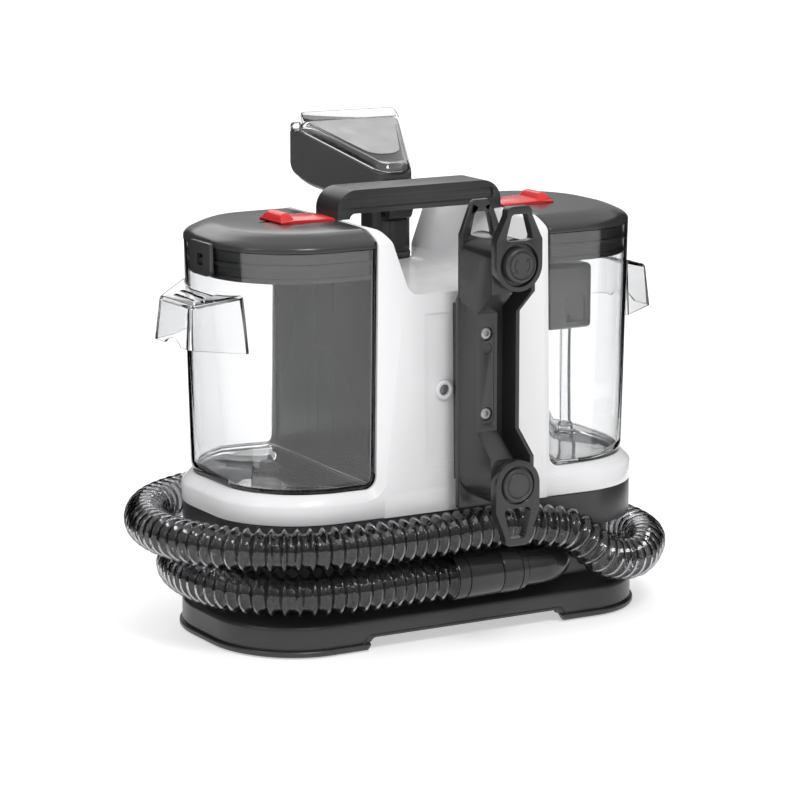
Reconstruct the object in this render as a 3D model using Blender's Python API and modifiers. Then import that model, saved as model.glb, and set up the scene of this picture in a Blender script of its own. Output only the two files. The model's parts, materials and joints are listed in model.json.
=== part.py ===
"""A two-tank spot extractor with a wrapped suction hose, built as separate parts at real size.

Frame: +X runs along the machine to the recovery tank, -Y is the front with the cord bracket, +Z is up,
and the origin is on the floor under the middle of the base. Sizes below are in millimetres.
"""

import math

import bmesh
import bpy
from mathutils import Matrix, Vector

MM = 0.001
GAP = 0.3

# Plan shapes: half length, half width, and the two half axes of the corner curves.
BASE_PLAN = (190.0, 94.8, 66.7, 76.0)
RING_PLAN = (187.0, 92.0, 72.8, 70.0)
TANK_TOP_PLAN = (187.5, 86.3, 71.0, 76.0)
TANK_FOOT_PLAN = (179.1, 87.2, 71.0, 63.0)
WAIST_PLAN = (168.0, 74.0, 55.0, 52.0)
ARC_STEPS = 6

# Heights of the main levels.
TRAY_FOOT = 1.0
TRAY_EDGE = 25.0
TRAY_LEDGE = 33.0
BAND_FOOT = 76.0
RING_FOOT = 105.0
RING_SHOULDER = 120.5
DECK = 128.3
FLOOR_OF_VALLEY = 279.0
LID_SEAM = 317.0
TOWER_TOP = 330.0
HANDLE_UNDERSIDE = 334.5
HANDLE_TOP = 353.3

# The core between the tanks.
CORE_HALF = 77.0
CORE_TOP_FRONT = 87.8
CORE_INSIDE = 84.6
CORE_CHAMFER = 5.5
PANEL_BACK = CORE_HALF - 2.4
TANK_SIDE = CORE_HALF + 0.6
TANK_WALL = 2.6
TANK_TAPER = 2.6
TANK_CORNER = 10.0
VALLEY_TOP_HALF = 66.5
VALLEY_FLOOR_HALF = 49.5

# The dome that the lids and the core's towers share: distance in from the side, height above the seam.
DOME = ((0.0, 0.0), (0.0, 2.5), (1.2, 4.6), (3.4, 6.4), (9.4, 9.3), (14.0, 11.2), (19.0, 12.8))
LID_TOP = LID_SEAM + 13.8
LATCH_BED = LID_TOP - 3.8
LATCH_HALF = 18.4

# Openings in the deck under the tanks: distance along the machine and radius.
PORTS = {"left": (-130.0, 13.0), "right": (150.0, 10.0)}

# Suction hose, its joint to the machine and the two levels that it lies on.
HOSE_RADIUS = 17.5
HOSE_LOW = (-98.0, 52.0)
HOSE_HIGH = (-111.0, 90.5)
CUFF_END = -20.0
ELBOW_AXIS = 87.0

# The hand tool, which stands in a notch at the back of the valley.
TOOL_X = 31.5
TOOL_Y = 94.0
GRIP_RADIUS = 20.3
COLLAR_FOOT = 271.0
HEAD_NOSE = -21.0
HEAD_MOUTH = 80.0
HEAD_TURN = math.radians(3.5)

TOOL_PIECES = ["tool_collar", "tool_grip", "tool_head", "tool_cover", "spray_tip"]
TRIGGER_X = TOOL_X - 1.5
TRIGGER_HALF = 10.8
TRIGGER_AXIS = (TOOL_Y - 22.5, 341.5)

# Inner pieces that move.
FAN_X = -8.0
FLOAT_X = 112.0
FLOAT_FOOT = 229.4
SWITCH = (-45.0, 208.0)
INLET = (-45.0, 150.0)

# The cord bracket on the front.
BRACKET_FACE = -113.0
NECK_FACE = -138.0
ARM_FACE = -160.0
LOOP_FACE = -168.5
HOOK_AXIS = 309.6
RING_AXIS = 137.9
BODY_SCREW = (-20.2, 201.7)
ARM_HALF = 19.3

PALETTE = {
    "black": ((0.025, 0.025, 0.027), 0.42, 0.0, 0.0),
    "charcoal": ((0.07, 0.07, 0.072), 0.38, 0.0, 0.0),
    "white": ((0.86, 0.86, 0.86), 0.22, 0.0, 0.0),
    "clear": ((0.90, 0.92, 0.93), 0.05, 0.0, 0.9),
    "smoke": ((0.16, 0.16, 0.17), 0.25, 0.0, 0.3),
    "red": ((0.70, 0.03, 0.035), 0.28, 0.0, 0.0),
    "rubber": ((0.03, 0.03, 0.03), 0.8, 0.0, 0.0),
    "metal": ((0.55, 0.55, 0.56), 0.3, 1.0, 0.0),
    "green": ((0.05, 0.22, 0.10), 0.5, 0.0, 0.0),
}


def new_collection(name):
    collection = bpy.data.collections.new(name)
    bpy.context.scene.collection.children.link(collection)
    return collection


def clear_scene():
    for obj in list(bpy.data.objects):
        bpy.data.objects.remove(obj, do_unlink=True)


clear_scene()
PARTS = new_collection("spot_extractor")
CUTTERS = new_collection("cutters")


def make_material(name, finish):
    colour, roughness, metallic, transmission = PALETTE[finish]
    material = bpy.data.materials.new(name)
    material.use_nodes = True
    shader = material.node_tree.nodes["Principled BSDF"]
    shader.inputs["Base Color"].default_value = (*colour, 1.0)
    shader.inputs["Roughness"].default_value = roughness
    shader.inputs["Metallic"].default_value = metallic
    shader.inputs["Transmission Weight"].default_value = transmission
    return material


def finish_part(obj, finish, smooth=True):
    """Names the part's material, shades it and puts it with the parts, or with the cutters if it has no finish."""
    if finish is None:
        CUTTERS.objects.link(obj)
        obj.hide_render = True
        obj.display_type = "WIRE"
        return obj
    PARTS.objects.link(obj)
    obj.data.materials.clear()
    obj.data.materials.append(make_material(obj.name, finish))
    if smooth and obj.type == "MESH":
        obj.data.shade_smooth()
        obj.data.set_sharp_from_angle(angle=math.radians(35))
    return obj


def bevel(obj, width, segments=2, angle=40):
    modifier = obj.modifiers.new("rounded_edges", "BEVEL")
    modifier.width = width * MM
    modifier.segments = segments
    modifier.limit_method = "ANGLE"
    modifier.angle_limit = math.radians(angle)
    return obj


def boolean(obj, operation, others):
    for other in others:
        modifier = obj.modifiers.new(operation.lower(), "BOOLEAN")
        modifier.operation = operation
        modifier.object = other
        modifier.solver = "EXACT"
    return obj


def cut(obj, *others):
    return boolean(obj, "DIFFERENCE", others)


def join(obj, *others):
    return boolean(obj, "UNION", others)


def mesh_object(name, grid, finish, place=None):
    """Makes an object from a bmesh whose lengths are in millimetres."""
    bmesh.ops.recalc_face_normals(grid, faces=grid.faces)
    bmesh.ops.scale(grid, vec=(MM, MM, MM), verts=grid.verts)
    mesh = bpy.data.meshes.new(name)
    grid.to_mesh(mesh)
    grid.free()
    obj = bpy.data.objects.new(name, mesh)
    if place is not None:
        obj.location = Vector(place) * MM
    return finish_part(obj, finish)


def box(name, low, high, finish=None, edge=0.0, segments=2):
    size = [b - a for a, b in zip(low, high)]
    middle = [(a + b) / 2 for a, b in zip(low, high)]
    grid = bmesh.new()
    bmesh.ops.create_cube(grid, size=1.0)
    bmesh.ops.scale(grid, vec=size, verts=grid.verts)
    obj = mesh_object(name, grid, finish, middle)
    return bevel(obj, edge, segments) if edge else obj


def cylinder(name, start, end, radius, finish=None, radius_end=None, sides=28, edge=0.0):
    axis = Vector(end) - Vector(start)
    grid = bmesh.new()
    bmesh.ops.create_cone(
        grid,
        cap_ends=True,
        segments=sides,
        radius1=radius,
        radius2=radius if radius_end is None else radius_end,
        depth=axis.length,
    )
    turn = Vector((0, 0, 1)).rotation_difference(axis).to_matrix().to_4x4()
    bmesh.ops.transform(grid, matrix=turn, verts=grid.verts)
    obj = mesh_object(name, grid, finish, (Vector(start) + Vector(end)) / 2)
    return bevel(obj, edge, 1, 50) if edge else obj


def turned(name, profile, place, finish, sides=32):
    """Turns a closed profile of (radius, height) points about Z; the points run down the outer side."""
    grid = bmesh.new()
    points = [grid.verts.new((r * MM, 0, z * MM)) for r, z in profile]
    for first, second in zip(points, points[1:] + points[:1]):
        grid.edges.new((first, second))
    mesh = bpy.data.meshes.new(name)
    grid.to_mesh(mesh)
    grid.free()
    obj = bpy.data.objects.new(name, mesh)
    obj.location = Vector(place) * MM
    screw = obj.modifiers.new("turned", "SCREW")
    screw.steps = sides
    screw.render_steps = sides
    screw.use_merge_vertices = True
    screw.merge_threshold = 0.00001
    screw.use_smooth_shade = True
    return finish_part(obj, finish, smooth=False)


def as_mesh(curve, name):
    """Replaces a curve object by the closed mesh that it draws."""
    bpy.context.scene.collection.objects.link(curve)
    bpy.context.view_layer.update()
    evaluated = curve.evaluated_get(bpy.context.evaluated_depsgraph_get())
    mesh = bpy.data.meshes.new_from_object(evaluated)
    mesh.name = name
    grid = bmesh.new()
    grid.from_mesh(mesh)
    bmesh.ops.remove_doubles(grid, verts=grid.verts, dist=0.000001)
    bmesh.ops.recalc_face_normals(grid, faces=grid.faces)
    grid.to_mesh(mesh)
    grid.free()
    obj = bpy.data.objects.new(name, mesh)
    obj.matrix_world = curve.matrix_world.copy()
    bpy.data.objects.remove(curve, do_unlink=True)
    return obj


PLANE_TURNS = {
    "XY": Matrix.Identity(4),
    "XZ": Matrix.Rotation(math.radians(90), 4, "X"),
    "YZ": Matrix(((0, 0, 1, 0), (1, 0, 0, 0), (0, 1, 0, 0), (0, 0, 0, 1))),
}


def slab(name, outline, low, high, finish=None, plane="XY", holes=(), edge=0.0, segments=2):
    """Extrudes a flat outline between two levels along the axis that the plane leaves out."""
    curve = bpy.data.curves.new(name + "_outline", "CURVE")
    curve.dimensions = "2D"
    curve.fill_mode = "BOTH"
    curve.extrude = (high - low) / 2 * MM
    for points in (outline, *holes):
        spline = curve.splines.new("POLY")
        spline.points.add(len(points) - 1)
        spline.use_cyclic_u = True
        for point, (u, v) in zip(spline.points, points):
            point.co = (u * MM, v * MM, 0, 1)
    drawn = bpy.data.objects.new(name + "_curve", curve)
    middle = (low + high) / 2 * MM
    shift = {"XY": (0, 0, middle), "XZ": (0, middle, 0), "YZ": (middle, 0, 0)}[plane]
    drawn.matrix_world = Matrix.Translation(shift) @ PLANE_TURNS[plane]
    obj = finish_part(as_mesh(drawn, name), finish)
    return bevel(obj, edge, segments) if edge else obj


def loft(name, rings, finish=None, endless=False):
    """Skins rings of equal point counts. An endless loft joins the last ring to the first."""
    grid = bmesh.new()
    rows = [[grid.verts.new(point) for point in ring] for ring in rings]
    count = len(rows[0])
    following = rows[1:] + rows[:1] if endless else rows[1:]
    for row, upper in zip(rows, following):
        for i in range(count):
            j = (i + 1) % count
            grid.faces.new((row[i], row[j], upper[j], upper[i]))
    if not endless:
        grid.faces.new(rows[0])
        grid.faces.new(rows[-1])
    return mesh_object(name, grid, finish)


def tube_along(name, points, radius, finish, resolution=2):
    curve = bpy.data.curves.new(name, "CURVE")
    curve.dimensions = "3D"
    curve.bevel_depth = radius * MM
    curve.bevel_resolution = resolution
    curve.use_fill_caps = True
    spline = curve.splines.new("POLY")
    spline.points.add(len(points) - 1)
    for point, place in zip(spline.points, points):
        point.co = (*(Vector(place) * MM), 1)
    return finish_part(bpy.data.objects.new(name, curve), finish)


def tube_mesh(name, points, radius, finish=None, resolution=3):
    """The same tube as a mesh, for pieces that are cut or that cut others."""
    tube = tube_along(name + "_curve", points, radius, "black", resolution)
    PARTS.objects.unlink(tube)
    return finish_part(as_mesh(tube, name), finish)


def centripetal_point(before, first, second, after, share):
    """A point between two knots of a centripetal Catmull-Rom curve."""
    time_in, time_on, time_out = (
        math.sqrt((b - a).length) for a, b in ((before, first), (first, second), (second, after))
    )
    chord = second - first
    leave = chord + time_on * ((first - before) / time_in - (second - before) / (time_in + time_on))
    arrive = chord + time_on * ((after - second) / time_out - (after - first) / (time_on + time_out))
    square = share * share
    cube = square * share
    blend = first * (2 * cube - 3 * square + 1) + second * (3 * square - 2 * cube)
    return blend + leave * (cube - 2 * square + share) + arrive * (cube - square)


def smooth_route(knots, count):
    """Evenly spaced points on one smooth curve through the knots."""
    knots = [Vector(knot) for knot in knots]
    knots = [2 * knots[0] - knots[1], *knots, 2 * knots[-1] - knots[-2]]
    steps = 24
    dense = []
    for four in zip(knots, knots[1:], knots[2:], knots[3:]):
        dense += [centripetal_point(*four, step / steps) for step in range(steps)]
    dense.append(knots[-2])
    lengths = [0.0]
    for first, second in zip(dense, dense[1:]):
        lengths.append(lengths[-1] + (second - first).length)
    route = []
    place = 0
    for i in range(count):
        target = lengths[-1] * i / (count - 1)
        while place < len(dense) - 2 and lengths[place + 1] < target:
            place += 1
        share = (target - lengths[place]) / (lengths[place + 1] - lengths[place])
        route.append(dense[place].lerp(dense[place + 1], share))
    return route


def arc(centre, radii, start, end, steps=ARC_STEPS):
    """Points on a quarter or other part of an ellipse, angles in degrees."""
    points = []
    for i in range(steps + 1):
        angle = math.radians(start + (end - start) * i / steps)
        points.append((centre[0] + radii[0] * math.cos(angle), centre[1] + radii[1] * math.sin(angle)))
    return points


def full_plan(plan, inset=0.0):
    """The rounded rectangle of a plan, moved inwards by an inset."""
    half_x, half_y, round_x, round_y = (value - inset for value in plan)
    centre_x = half_x - round_x
    centre_y = half_y - round_y
    outline = []
    for quarter, (side_x, side_y) in enumerate(((1, 1), (-1, 1), (-1, -1), (1, -1))):
        centre = (side_x * centre_x, side_y * centre_y)
        outline += arc(centre, (round_x, round_y), 90 * quarter, 90 * quarter + 90)
    return outline


def end_plan(side, plan, inset=0.0, inner=TANK_SIDE, corner=4.0):
    """The D-shaped plan of a tank: flat at the core, round at the outer end. Side is 1 or -1."""
    half_x, half_y, round_x, round_y = (value - inset for value in plan)
    centre_x = half_x - round_x
    centre_y = half_y - round_y
    small = (corner, corner)
    outline = arc((inner + corner, -half_y + corner), small, 180, 270, 3)
    outline += arc((centre_x, -centre_y), (round_x, round_y), -90, 0)
    outline += arc((centre_x, centre_y), (round_x, round_y), 0, 90)
    outline += arc((inner + corner, half_y - corner), small, 90, 180, 3)
    return [(side * x, y) for x, y in outline]


def at_height(outline, z):
    return [(x, y, z) for x, y in outline]


def rounded(points, radius, steps=4):
    """A polygon with its corners replaced by arcs."""
    outline = []
    count = len(points)
    for i in range(count):
        corner = Vector(points[i])
        before = (Vector(points[i - 1]) - corner).normalized()
        after = (Vector(points[(i + 1) % count]) - corner).normalized()
        half = math.acos(max(-1.0, min(1.0, before.dot(after)))) / 2
        reach = radius / math.tan(half)
        centre = corner + (before + after).normalized() * radius / math.sin(half)
        start = corner + before * reach - centre
        end = corner + after * reach - centre
        sweep = start.angle_signed(end)
        for step in range(steps + 1):
            turn = Matrix.Rotation(-sweep * step / steps, 2)
            outline.append(tuple(centre + turn @ start))
    return outline


def blend_plans(first, second, share):
    return tuple(a + (b - a) * share for a, b in zip(first, second))


def tank_plan(z):
    """The tanks taper a little towards their feet."""
    return blend_plans(TANK_FOOT_PLAN, TANK_TOP_PLAN, (z - DECK) / (LID_SEAM - DECK))


def taper(z):
    """How much further from the middle the tanks' inner walls stand than at the lid seam."""
    return TANK_TAPER * max(0.0, LID_SEAM - z) / (LID_SEAM - DECK)


def core_front(z):
    """How far the core's front and back stand from the middle: level with the ring below, leaning in above."""
    share = max(0.0, min(1.0, (z - RING_SHOULDER) / (LID_SEAM - RING_SHOULDER)))
    return RING_PLAN[1] + 0.15 + (CORE_TOP_FRONT - RING_PLAN[1]) * share


# ---------------------------------------------------------------- base and waist


def make_base_tray():
    bead = BASE_PLAN
    rings = [
        at_height(full_plan(bead, 1.5), TRAY_FOOT),
        at_height(full_plan(bead), TRAY_FOOT + 1.5),
        at_height(full_plan(bead), 5.5),
        at_height(full_plan(bead, 2.4), 8.0),
        at_height(full_plan(bead, 2.4), TRAY_EDGE - 1.0),
        at_height(full_plan(bead, 3.4), TRAY_EDGE),
        at_height(full_plan(bead, 13.0), TRAY_LEDGE),
        at_height(full_plan(bead, 28.0), TRAY_LEDGE),
        at_height(full_plan(bead, 28.5), 14.0),
    ]
    tray = loft("base_tray", rings, "black")
    tunnel = [(-92.9, -1.0), (-85.2, 10.4), (85.2, 10.4), (92.9, -1.0)]
    room = BASE_PLAN[1] - 5.5
    cut(tray, slab("tray_tunnel", tunnel, -120, 120, plane="XZ"), box("tray_room", (-99, -room, -2), (99, room, 10.6)))
    for side in (-1, 1):
        pocket = box(f"tray_pocket_{side}", (-20, -66, -2), (20, 66, 10.5))
        pocket.location.x = side * 118 * MM
        cut(tray, pocket)
    for index, (x, y) in enumerate(foot_places()):
        cut(tray, cylinder(f"foot_hole_{index}", (x, y, -2), (x, y, 4.3), 9.4, sides=24))


def foot_places():
    return [(x, y) for x in (-157, 157) for y in (-46, 46)]


def make_feet():
    for index, (x, y) in enumerate(foot_places()):
        cylinder(f"foot_pad_{index + 1}", (x, y, 0), (x, y, 4), 9.0, "rubber", sides=16)


def make_waist():
    band = tuple(value - 0.6 for value in RING_PLAN)
    rings = [
        at_height(full_plan(WAIST_PLAN), TRAY_LEDGE + GAP),
        at_height(full_plan(WAIST_PLAN), BAND_FOOT - 4),
        at_height(full_plan(band, 1.5), BAND_FOOT),
        at_height(full_plan(band), BAND_FOOT + 1.5),
        at_height(full_plan(band), RING_FOOT - GAP),
        at_height(full_plan(band, 5), RING_FOOT - GAP),
        at_height(full_plan(band, 5), BAND_FOOT + 3),
        at_height(full_plan(WAIST_PLAN, 3), BAND_FOOT - 1),
        at_height(full_plan(WAIST_PLAN, 3), TRAY_LEDGE + GAP),
    ]
    waist = loft("waist_shell", rings, "black", endless=True)
    hole = cylinder(
        "elbow_hole", (ELBOW_AXIS, -90, HOSE_LOW[1]), (ELBOW_AXIS, -60, HOSE_LOW[1]), 15.5, sides=24
    )
    cut(waist, hole)
    for index in range(7):
        x = -45 + 15 * index
        cut(waist, box(f"exhaust_slot_{index}", (x - 3, 60, 42), (x + 3, 90, 66)))


# ---------------------------------------------------------------- white body


def valley_outline():
    """The U-shaped end view of the core, wider than the core, which core_envelope trims."""
    side = CORE_HALF + 9
    points = [(-side, RING_FOOT), (side, RING_FOOT), (side, TOWER_TOP)]
    points += arc((VALLEY_TOP_HALF + 5.2, TOWER_TOP - 5.0), (5, 5), 90, 161, 4)
    points += arc((VALLEY_FLOOR_HALF - 8, FLOOR_OF_VALLEY + 12), (12, 12), -19, -90, 4)
    mirrored = [(-x, z) for x, z in reversed(points[2:])]
    return points + mirrored


def core_section(z, inset):
    """The core's plan at a height: a rectangle whose corners are cut back to the tanks' faces."""
    front = core_front(z) - inset
    side = CORE_HALF + taper(z)
    glass = tank_plan(min(z, LID_SEAM))[1] + 0.3 - inset
    quarter = [(side, glass), (side - CORE_CHAMFER, front)]
    outline = quarter + [(-x, y) for x, y in reversed(quarter)]
    return outline + [(-x, -y) for x, y in outline]


def core_envelope(name):
    """The core's outer form: flush with the ring below, with its top front and back edges domed like the lids."""
    levels = [(RING_FOOT - 1, 0.0), (RING_SHOULDER, 0.0)]
    levels += [(LID_SEAM + rise, inset) for inset, rise in DOME]
    levels.append((TOWER_TOP + 0.2, 20.0))
    return loft(name, [at_height(core_section(z, inset), z) for z, inset in levels])


def corner_fillet(name, side, front):
    """Carries the chamfer round the lower corner between the core and the ring. Side and front are 1 or -1."""
    middle = (side * (CORE_HALF + TANK_TAPER + TANK_CORNER), DECK + TANK_CORNER)
    sweep = (180, 270) if side > 0 else (360, 270)
    rings = []
    outer = RING_PLAN[1] - 0.1
    glass = TANK_FOOT_PLAN[1] + 0.15
    inner = TANK_CORNER + 0.15
    for y, radius in ((70, inner), (glass, inner), (outer, TANK_CORNER + 7.6)):
        curve = arc(middle, (radius, radius), *sweep, 6)
        corner = [(middle[0] + side * 1.2, 118.5), (side * 70, 118.5), (side * 70, middle[1] + 1.2)]
        rings.append([(x, front * y, z) for x, z in curve + corner])
    return loft(name, rings)


def notch_route():
    """The middle of the hose where it passes the notch, from above the collar down the back."""
    return [(TOOL_X, TOOL_Y, 300), (TOOL_X, TOOL_Y, 266), *HOSE_RISE, (TOOL_X, 116, 120)]


HOSE_RISE = [(TOOL_X, TOOL_Y, 256), (TOOL_X, 99, 232), (TOOL_X, 107, 208), (TOOL_X, 114, 182)]


def make_body_shell(name, half):
    """One half of the white body: half is -1 for the front and 1 for the rear."""
    rings = [
        at_height(full_plan(RING_PLAN, 0.6), RING_FOOT),
        at_height(full_plan(RING_PLAN), RING_FOOT + 0.8),
        at_height(full_plan(RING_PLAN), RING_SHOULDER),
        at_height(full_plan(RING_PLAN, 0.8), RING_SHOULDER + 1.2),
        at_height(full_plan(blend_plans(RING_PLAN, TANK_FOOT_PLAN, 0.9)), DECK - 0.5),
        at_height(full_plan(TANK_FOOT_PLAN, 0.5), DECK),
    ]
    shell = loft(name, rings, "white")
    core = slab(name + "_core", valley_outline(), -100, 100, plane="XZ")
    boolean(core, "INTERSECT", [core_envelope(name + "_envelope")])
    under_deck = loft(
        name + "_under_deck",
        [
            at_height(full_plan(RING_PLAN, 3), RING_FOOT - 1),
            at_height(full_plan(RING_PLAN, 3), RING_SHOULDER - 2),
            at_height(full_plan(RING_PLAN, 10), DECK - 4.5),
        ],
    )
    inside = box(name + "_inside", (-70, -CORE_INSIDE, RING_FOOT - 2), (70, CORE_INSIDE, 274))
    cut(inside, tube_mesh(name + "_groove_wall", notch_route(), 25.8))
    fillets = [corner_fillet(f"{name}_fillet_{side}", side, half) for side in (-1, 1)]
    join(shell, core, *fillets)
    cut(shell, under_deck, inside, tube_mesh(name + "_groove", notch_route(), 22.6))
    for side in (-1, 1):
        low, high = sorted((side * PANEL_BACK, side * (CORE_HALF + 9)))
        cut(shell, box(f"{name}_panel_{side}", (low, -84, DECK + TANK_CORNER), (high, 84, 322)))
        seat = end_plan(side, TANK_FOOT_PLAN, 2.0, PANEL_BACK, 3.0)
        cut(shell, slab(f"{name}_deck_seat_{side}", seat, DECK - 2.2, DECK + TANK_CORNER + 2))
    half_space = box(name + "_half", (-250, 0.15, 60), (250, 140, 400))
    if half < 0:
        half_space.location.y = -70.15 * MM
    boolean(shell, "INTERSECT", [half_space])
    return shell


def make_body():
    x, z = BODY_SCREW
    front = make_body_shell("body_front", -1)
    cut(front, cylinder("body_screw_hole", (x, -100, z), (x, -core_front(z) + 2.6, z), 4.2, sides=20))
    rear = make_body_shell("body_rear", 1)
    x, z = SWITCH
    cut(rear, box("switch_hole", (x - 12, 80, z - 12), (x + 12, 100, z + 12)))
    x, z = INLET
    cut(rear, cylinder("inlet_hole", (x, 80, z), (x, 100, z), 9.4, sides=24))
    for half, shell in (("front", front), ("rear", rear)):
        for name, (x, radius) in PORTS.items():
            ends = (x, 0, DECK - 12), (x, 0, DECK + 4)
            cut(shell, cylinder(f"{name}_port_{half}", *ends, radius, sides=24))


def make_end_panels():
    """Dark linings under and behind the tanks: a deck plate and an upright wall with three grooves."""
    for side, name in ((-1, "left"), (1, "right")):
        deck = end_plan(side, TANK_FOOT_PLAN, 2.3, PANEL_BACK + 0.3, 3.0)
        panel = slab(f"end_panel_{name}", deck, DECK - 1.9, DECK - 0.1, "charcoal")
        low, high = sorted((side * (PANEL_BACK + 0.4), side * (CORE_HALF - 0.2)))
        join(panel, box(f"{name}_wall", (low, -83.6, DECK - 1), (high, 83.6, 321.6)))
        for y in (-15.5, 9.5, 24.5):
            face = side * CORE_HALF
            groove = box(f"{name}_groove_{int(y)}", (face - 1.1, y - 1.2, DECK + 4), (face + 1.1, y + 1.2, 330))
            cut(panel, groove)
        x, radius = PORTS[name]
        cut(panel, cylinder(f"{name}_deck_port", (x, 0, DECK - 5), (x, 0, DECK + 3), radius, sides=24))


def make_front_screw():
    """The screw that holds the two halves of the body, with its raised ring."""
    x, z = BODY_SCREW
    face = core_front(z)
    cylinder("body_screw", (x, -face - 1.4, z), (x, -face + 2.2, z), 3.8, "metal", sides=20)
    ring = [(7.6, 0.0), (7.6, -1.6), (4.6, -1.6), (4.6, 0.0)]
    boss = turned("body_screw_boss", ring, (x, -face - GAP - 0.2, z), "white", 24)
    boss.rotation_euler = (math.radians(-90), 0, 0)


# ---------------------------------------------------------------- handle


def make_handle():
    half = CORE_HALF - 2.0
    foot = TOWER_TOP + GAP
    corner = (5.0, HANDLE_UNDERSIDE - foot)
    outline = [(-half, foot)]
    outline += arc((-half + 17, HANDLE_TOP - 17), (17, 17), 180, 90, 6)
    outline += arc((half - 17, HANDLE_TOP - 17), (17, 17), 90, 0, 6)
    outline += [(half, foot)]
    outline += arc((half - 16, foot), corner, 0, 90, 3)
    outline += arc((-half + 16, foot), corner, 90, 180, 3)
    handle = slab("handle", outline, -18, 18, "charcoal", plane="XZ")
    bevel(handle, 2.4, 3, 30)
    low, high = HANDLE_UNDERSIDE + 4.2, HANDLE_TOP - 5.6
    recess = rounded([(-67, low), (-67, high), (67, high), (67, low)], 4.2, 4)
    for side in (-1, 1):
        near, far = sorted((side * 16.2, side * 22))
        cut(handle, slab(f"handle_recess_{side}", recess, near, far, plane="XZ"))


def without_repeats(outline):
    kept = []
    for point in outline:
        if not kept or (Vector(point) - Vector(kept[-1])).length > 0.05:
            kept.append(point)
    return kept


# ---------------------------------------------------------------- tanks and lids


def make_tank(side, name):
    foot = DECK + GAP
    rings = []
    for step in range(5):
        angle = math.radians(22.5 * step)
        inset, rise = 1 - math.sin(angle), 1 - math.cos(angle)
        inner = TANK_SIDE + TANK_TAPER + TANK_CORNER * inset
        rings.append(at_height(end_plan(side, TANK_FOOT_PLAN, 3 * inset, inner), foot + TANK_CORNER * rise))
    rings.append(at_height(end_plan(side, TANK_TOP_PLAN), LID_SEAM - GAP))
    for z in (LID_SEAM - GAP, foot + TANK_CORNER, foot + 3.3):
        inner = TANK_SIDE + TANK_WALL + taper(z) + (3.0 if z < DECK + 5 else 0.0)
        rings.append(at_height(end_plan(side, tank_plan(z), TANK_WALL, inner, 2.5), z))
    tank = loft(f"{name}_tank", rings, "clear")
    x, radius = (PORTS[name][0], 8.5 if side < 0 else 9.5)
    cut(tank, cylinder(f"{name}_tank_port", (x, 0, DECK - 2), (x, 0, DECK + 8), radius, sides=24))


def make_hood(side, name):
    """The finger grip on a tank's outer end: a clear hood that is open below."""

    def ring(grow, z_at_wall, fall, inner):
        outer = 209.5 + grow
        back = 140 if inner else 150
        plan = [(back, -53 - grow), (176, -51 - grow), (outer, -29 - grow), (outer, 29 + grow)]
        plan += [(176, 51 + grow), (back, 53 + grow)]
        plan = rounded(plan, 4 if inner else 6, 3)
        return [(side * x, y, z_at_wall - fall * (x - 176)) for x, y in plan]

    hood = loft(f"{name}_hood", [ring(3.0, 238.5, -0.06, 0), ring(0.0, 284.0, 0.28, 0)], "clear")
    hollow = loft(f"{name}_hood_hollow", [ring(1.2, 230.0, 0.0, 1), ring(-2.6, 281.4, 0.28, 1)])
    wall = [
        at_height(end_plan(side, tank_plan(200.0), -GAP, 60), 200),
        at_height(end_plan(side, tank_plan(300.0), -GAP, 60), 300),
    ]
    cut(hood, loft(f"{name}_hood_seat", wall), hollow)
    for index in range(3):
        low, high = sorted((side * (185.5 + 7 * index), side * (187.7 + 7 * index)))
        reach = 24 - 3 * index
        cut(hood, box(f"{name}_hood_slot_{index}", (low, -reach, 265), (high, reach, 290)))
    finger = cylinder(f"{name}_hood_arch", (side * 240, 0, 224), (side * 190, 0, 224), 22, sides=32)
    cut(hood, finger)


def make_lid(side, name):
    rings = []
    for inset, rise in (*DOME, (44.0, LID_TOP - LID_SEAM)):
        rings.append(at_height(end_plan(side, TANK_TOP_PLAN, inset), LID_SEAM + rise))
    inner = TANK_SIDE + 3.0
    under = [
        at_height(end_plan(side, TANK_TOP_PLAN, 4.0, inner, 2.5), LID_SEAM - 2),
        at_height(end_plan(side, TANK_TOP_PLAN, 4.8, inner, 2.5), LID_SEAM + 2.5),
        at_height(end_plan(side, TANK_TOP_PLAN, 12.0, inner, 2.5), LID_SEAM + 6.5),
    ]
    lid = loft(f"{name}_lid", rings, "charcoal")
    cut(lid, loft(f"{name}_lid_hollow", under))
    low, high = sorted((side * 70, side * 126))
    cut(lid, box(f"{name}_latch_bed", (low, -LATCH_HALF - GAP, LATCH_BED), (high, LATCH_HALF + GAP, 350)))
    point = [(side * 125, -5.5), (side * 125, 5.5), (side * 137, 0)]
    cut(lid, slab(f"{name}_latch_slot", point, LATCH_BED - 0.5, 340))


def make_seal(side, name):
    """The lid's inner skirt, with two sealing ribs that press on the tank wall."""
    inner = TANK_SIDE + TANK_WALL
    bands = ((0.8, 316.6), (0.8, 308), (0.3, 307), (0.3, 305), (0.8, 304), (0.8, 296), (0.3, 295), (0.3, 293))
    rings = []
    for gap, z in bands:
        inset = TANK_WALL + gap
        rings.append(at_height(end_plan(side, tank_plan(z), inset, inner + gap + taper(z), 2.5), z))
    for z in (293, 316.6):
        rings.append(at_height(end_plan(side, tank_plan(z), TANK_WALL + 3.2, inner + 3.2, 2.5), z))
    loft(f"{name}_lid_seal", rings, "charcoal", endless=True)


def make_latch(side, name):
    near = TANK_SIDE + 0.2
    foot = LATCH_BED + 0.4
    over = LID_TOP + GAP
    body = [(near, foot), (117, foot), (117, over), (125.5, over), (125.5, over + 3), (123, over + 7.4)]
    body += [(115.5, over + 7.4), (112.5, over + 2.6), (88, over + 1.8), (near, over + 0.4)]
    profile = [(side * x, z) for x, z in body]
    slab(f"{name}_latch", profile, -LATCH_HALF, LATCH_HALF, "red", plane="XZ", edge=0.8, segments=1)


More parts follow.
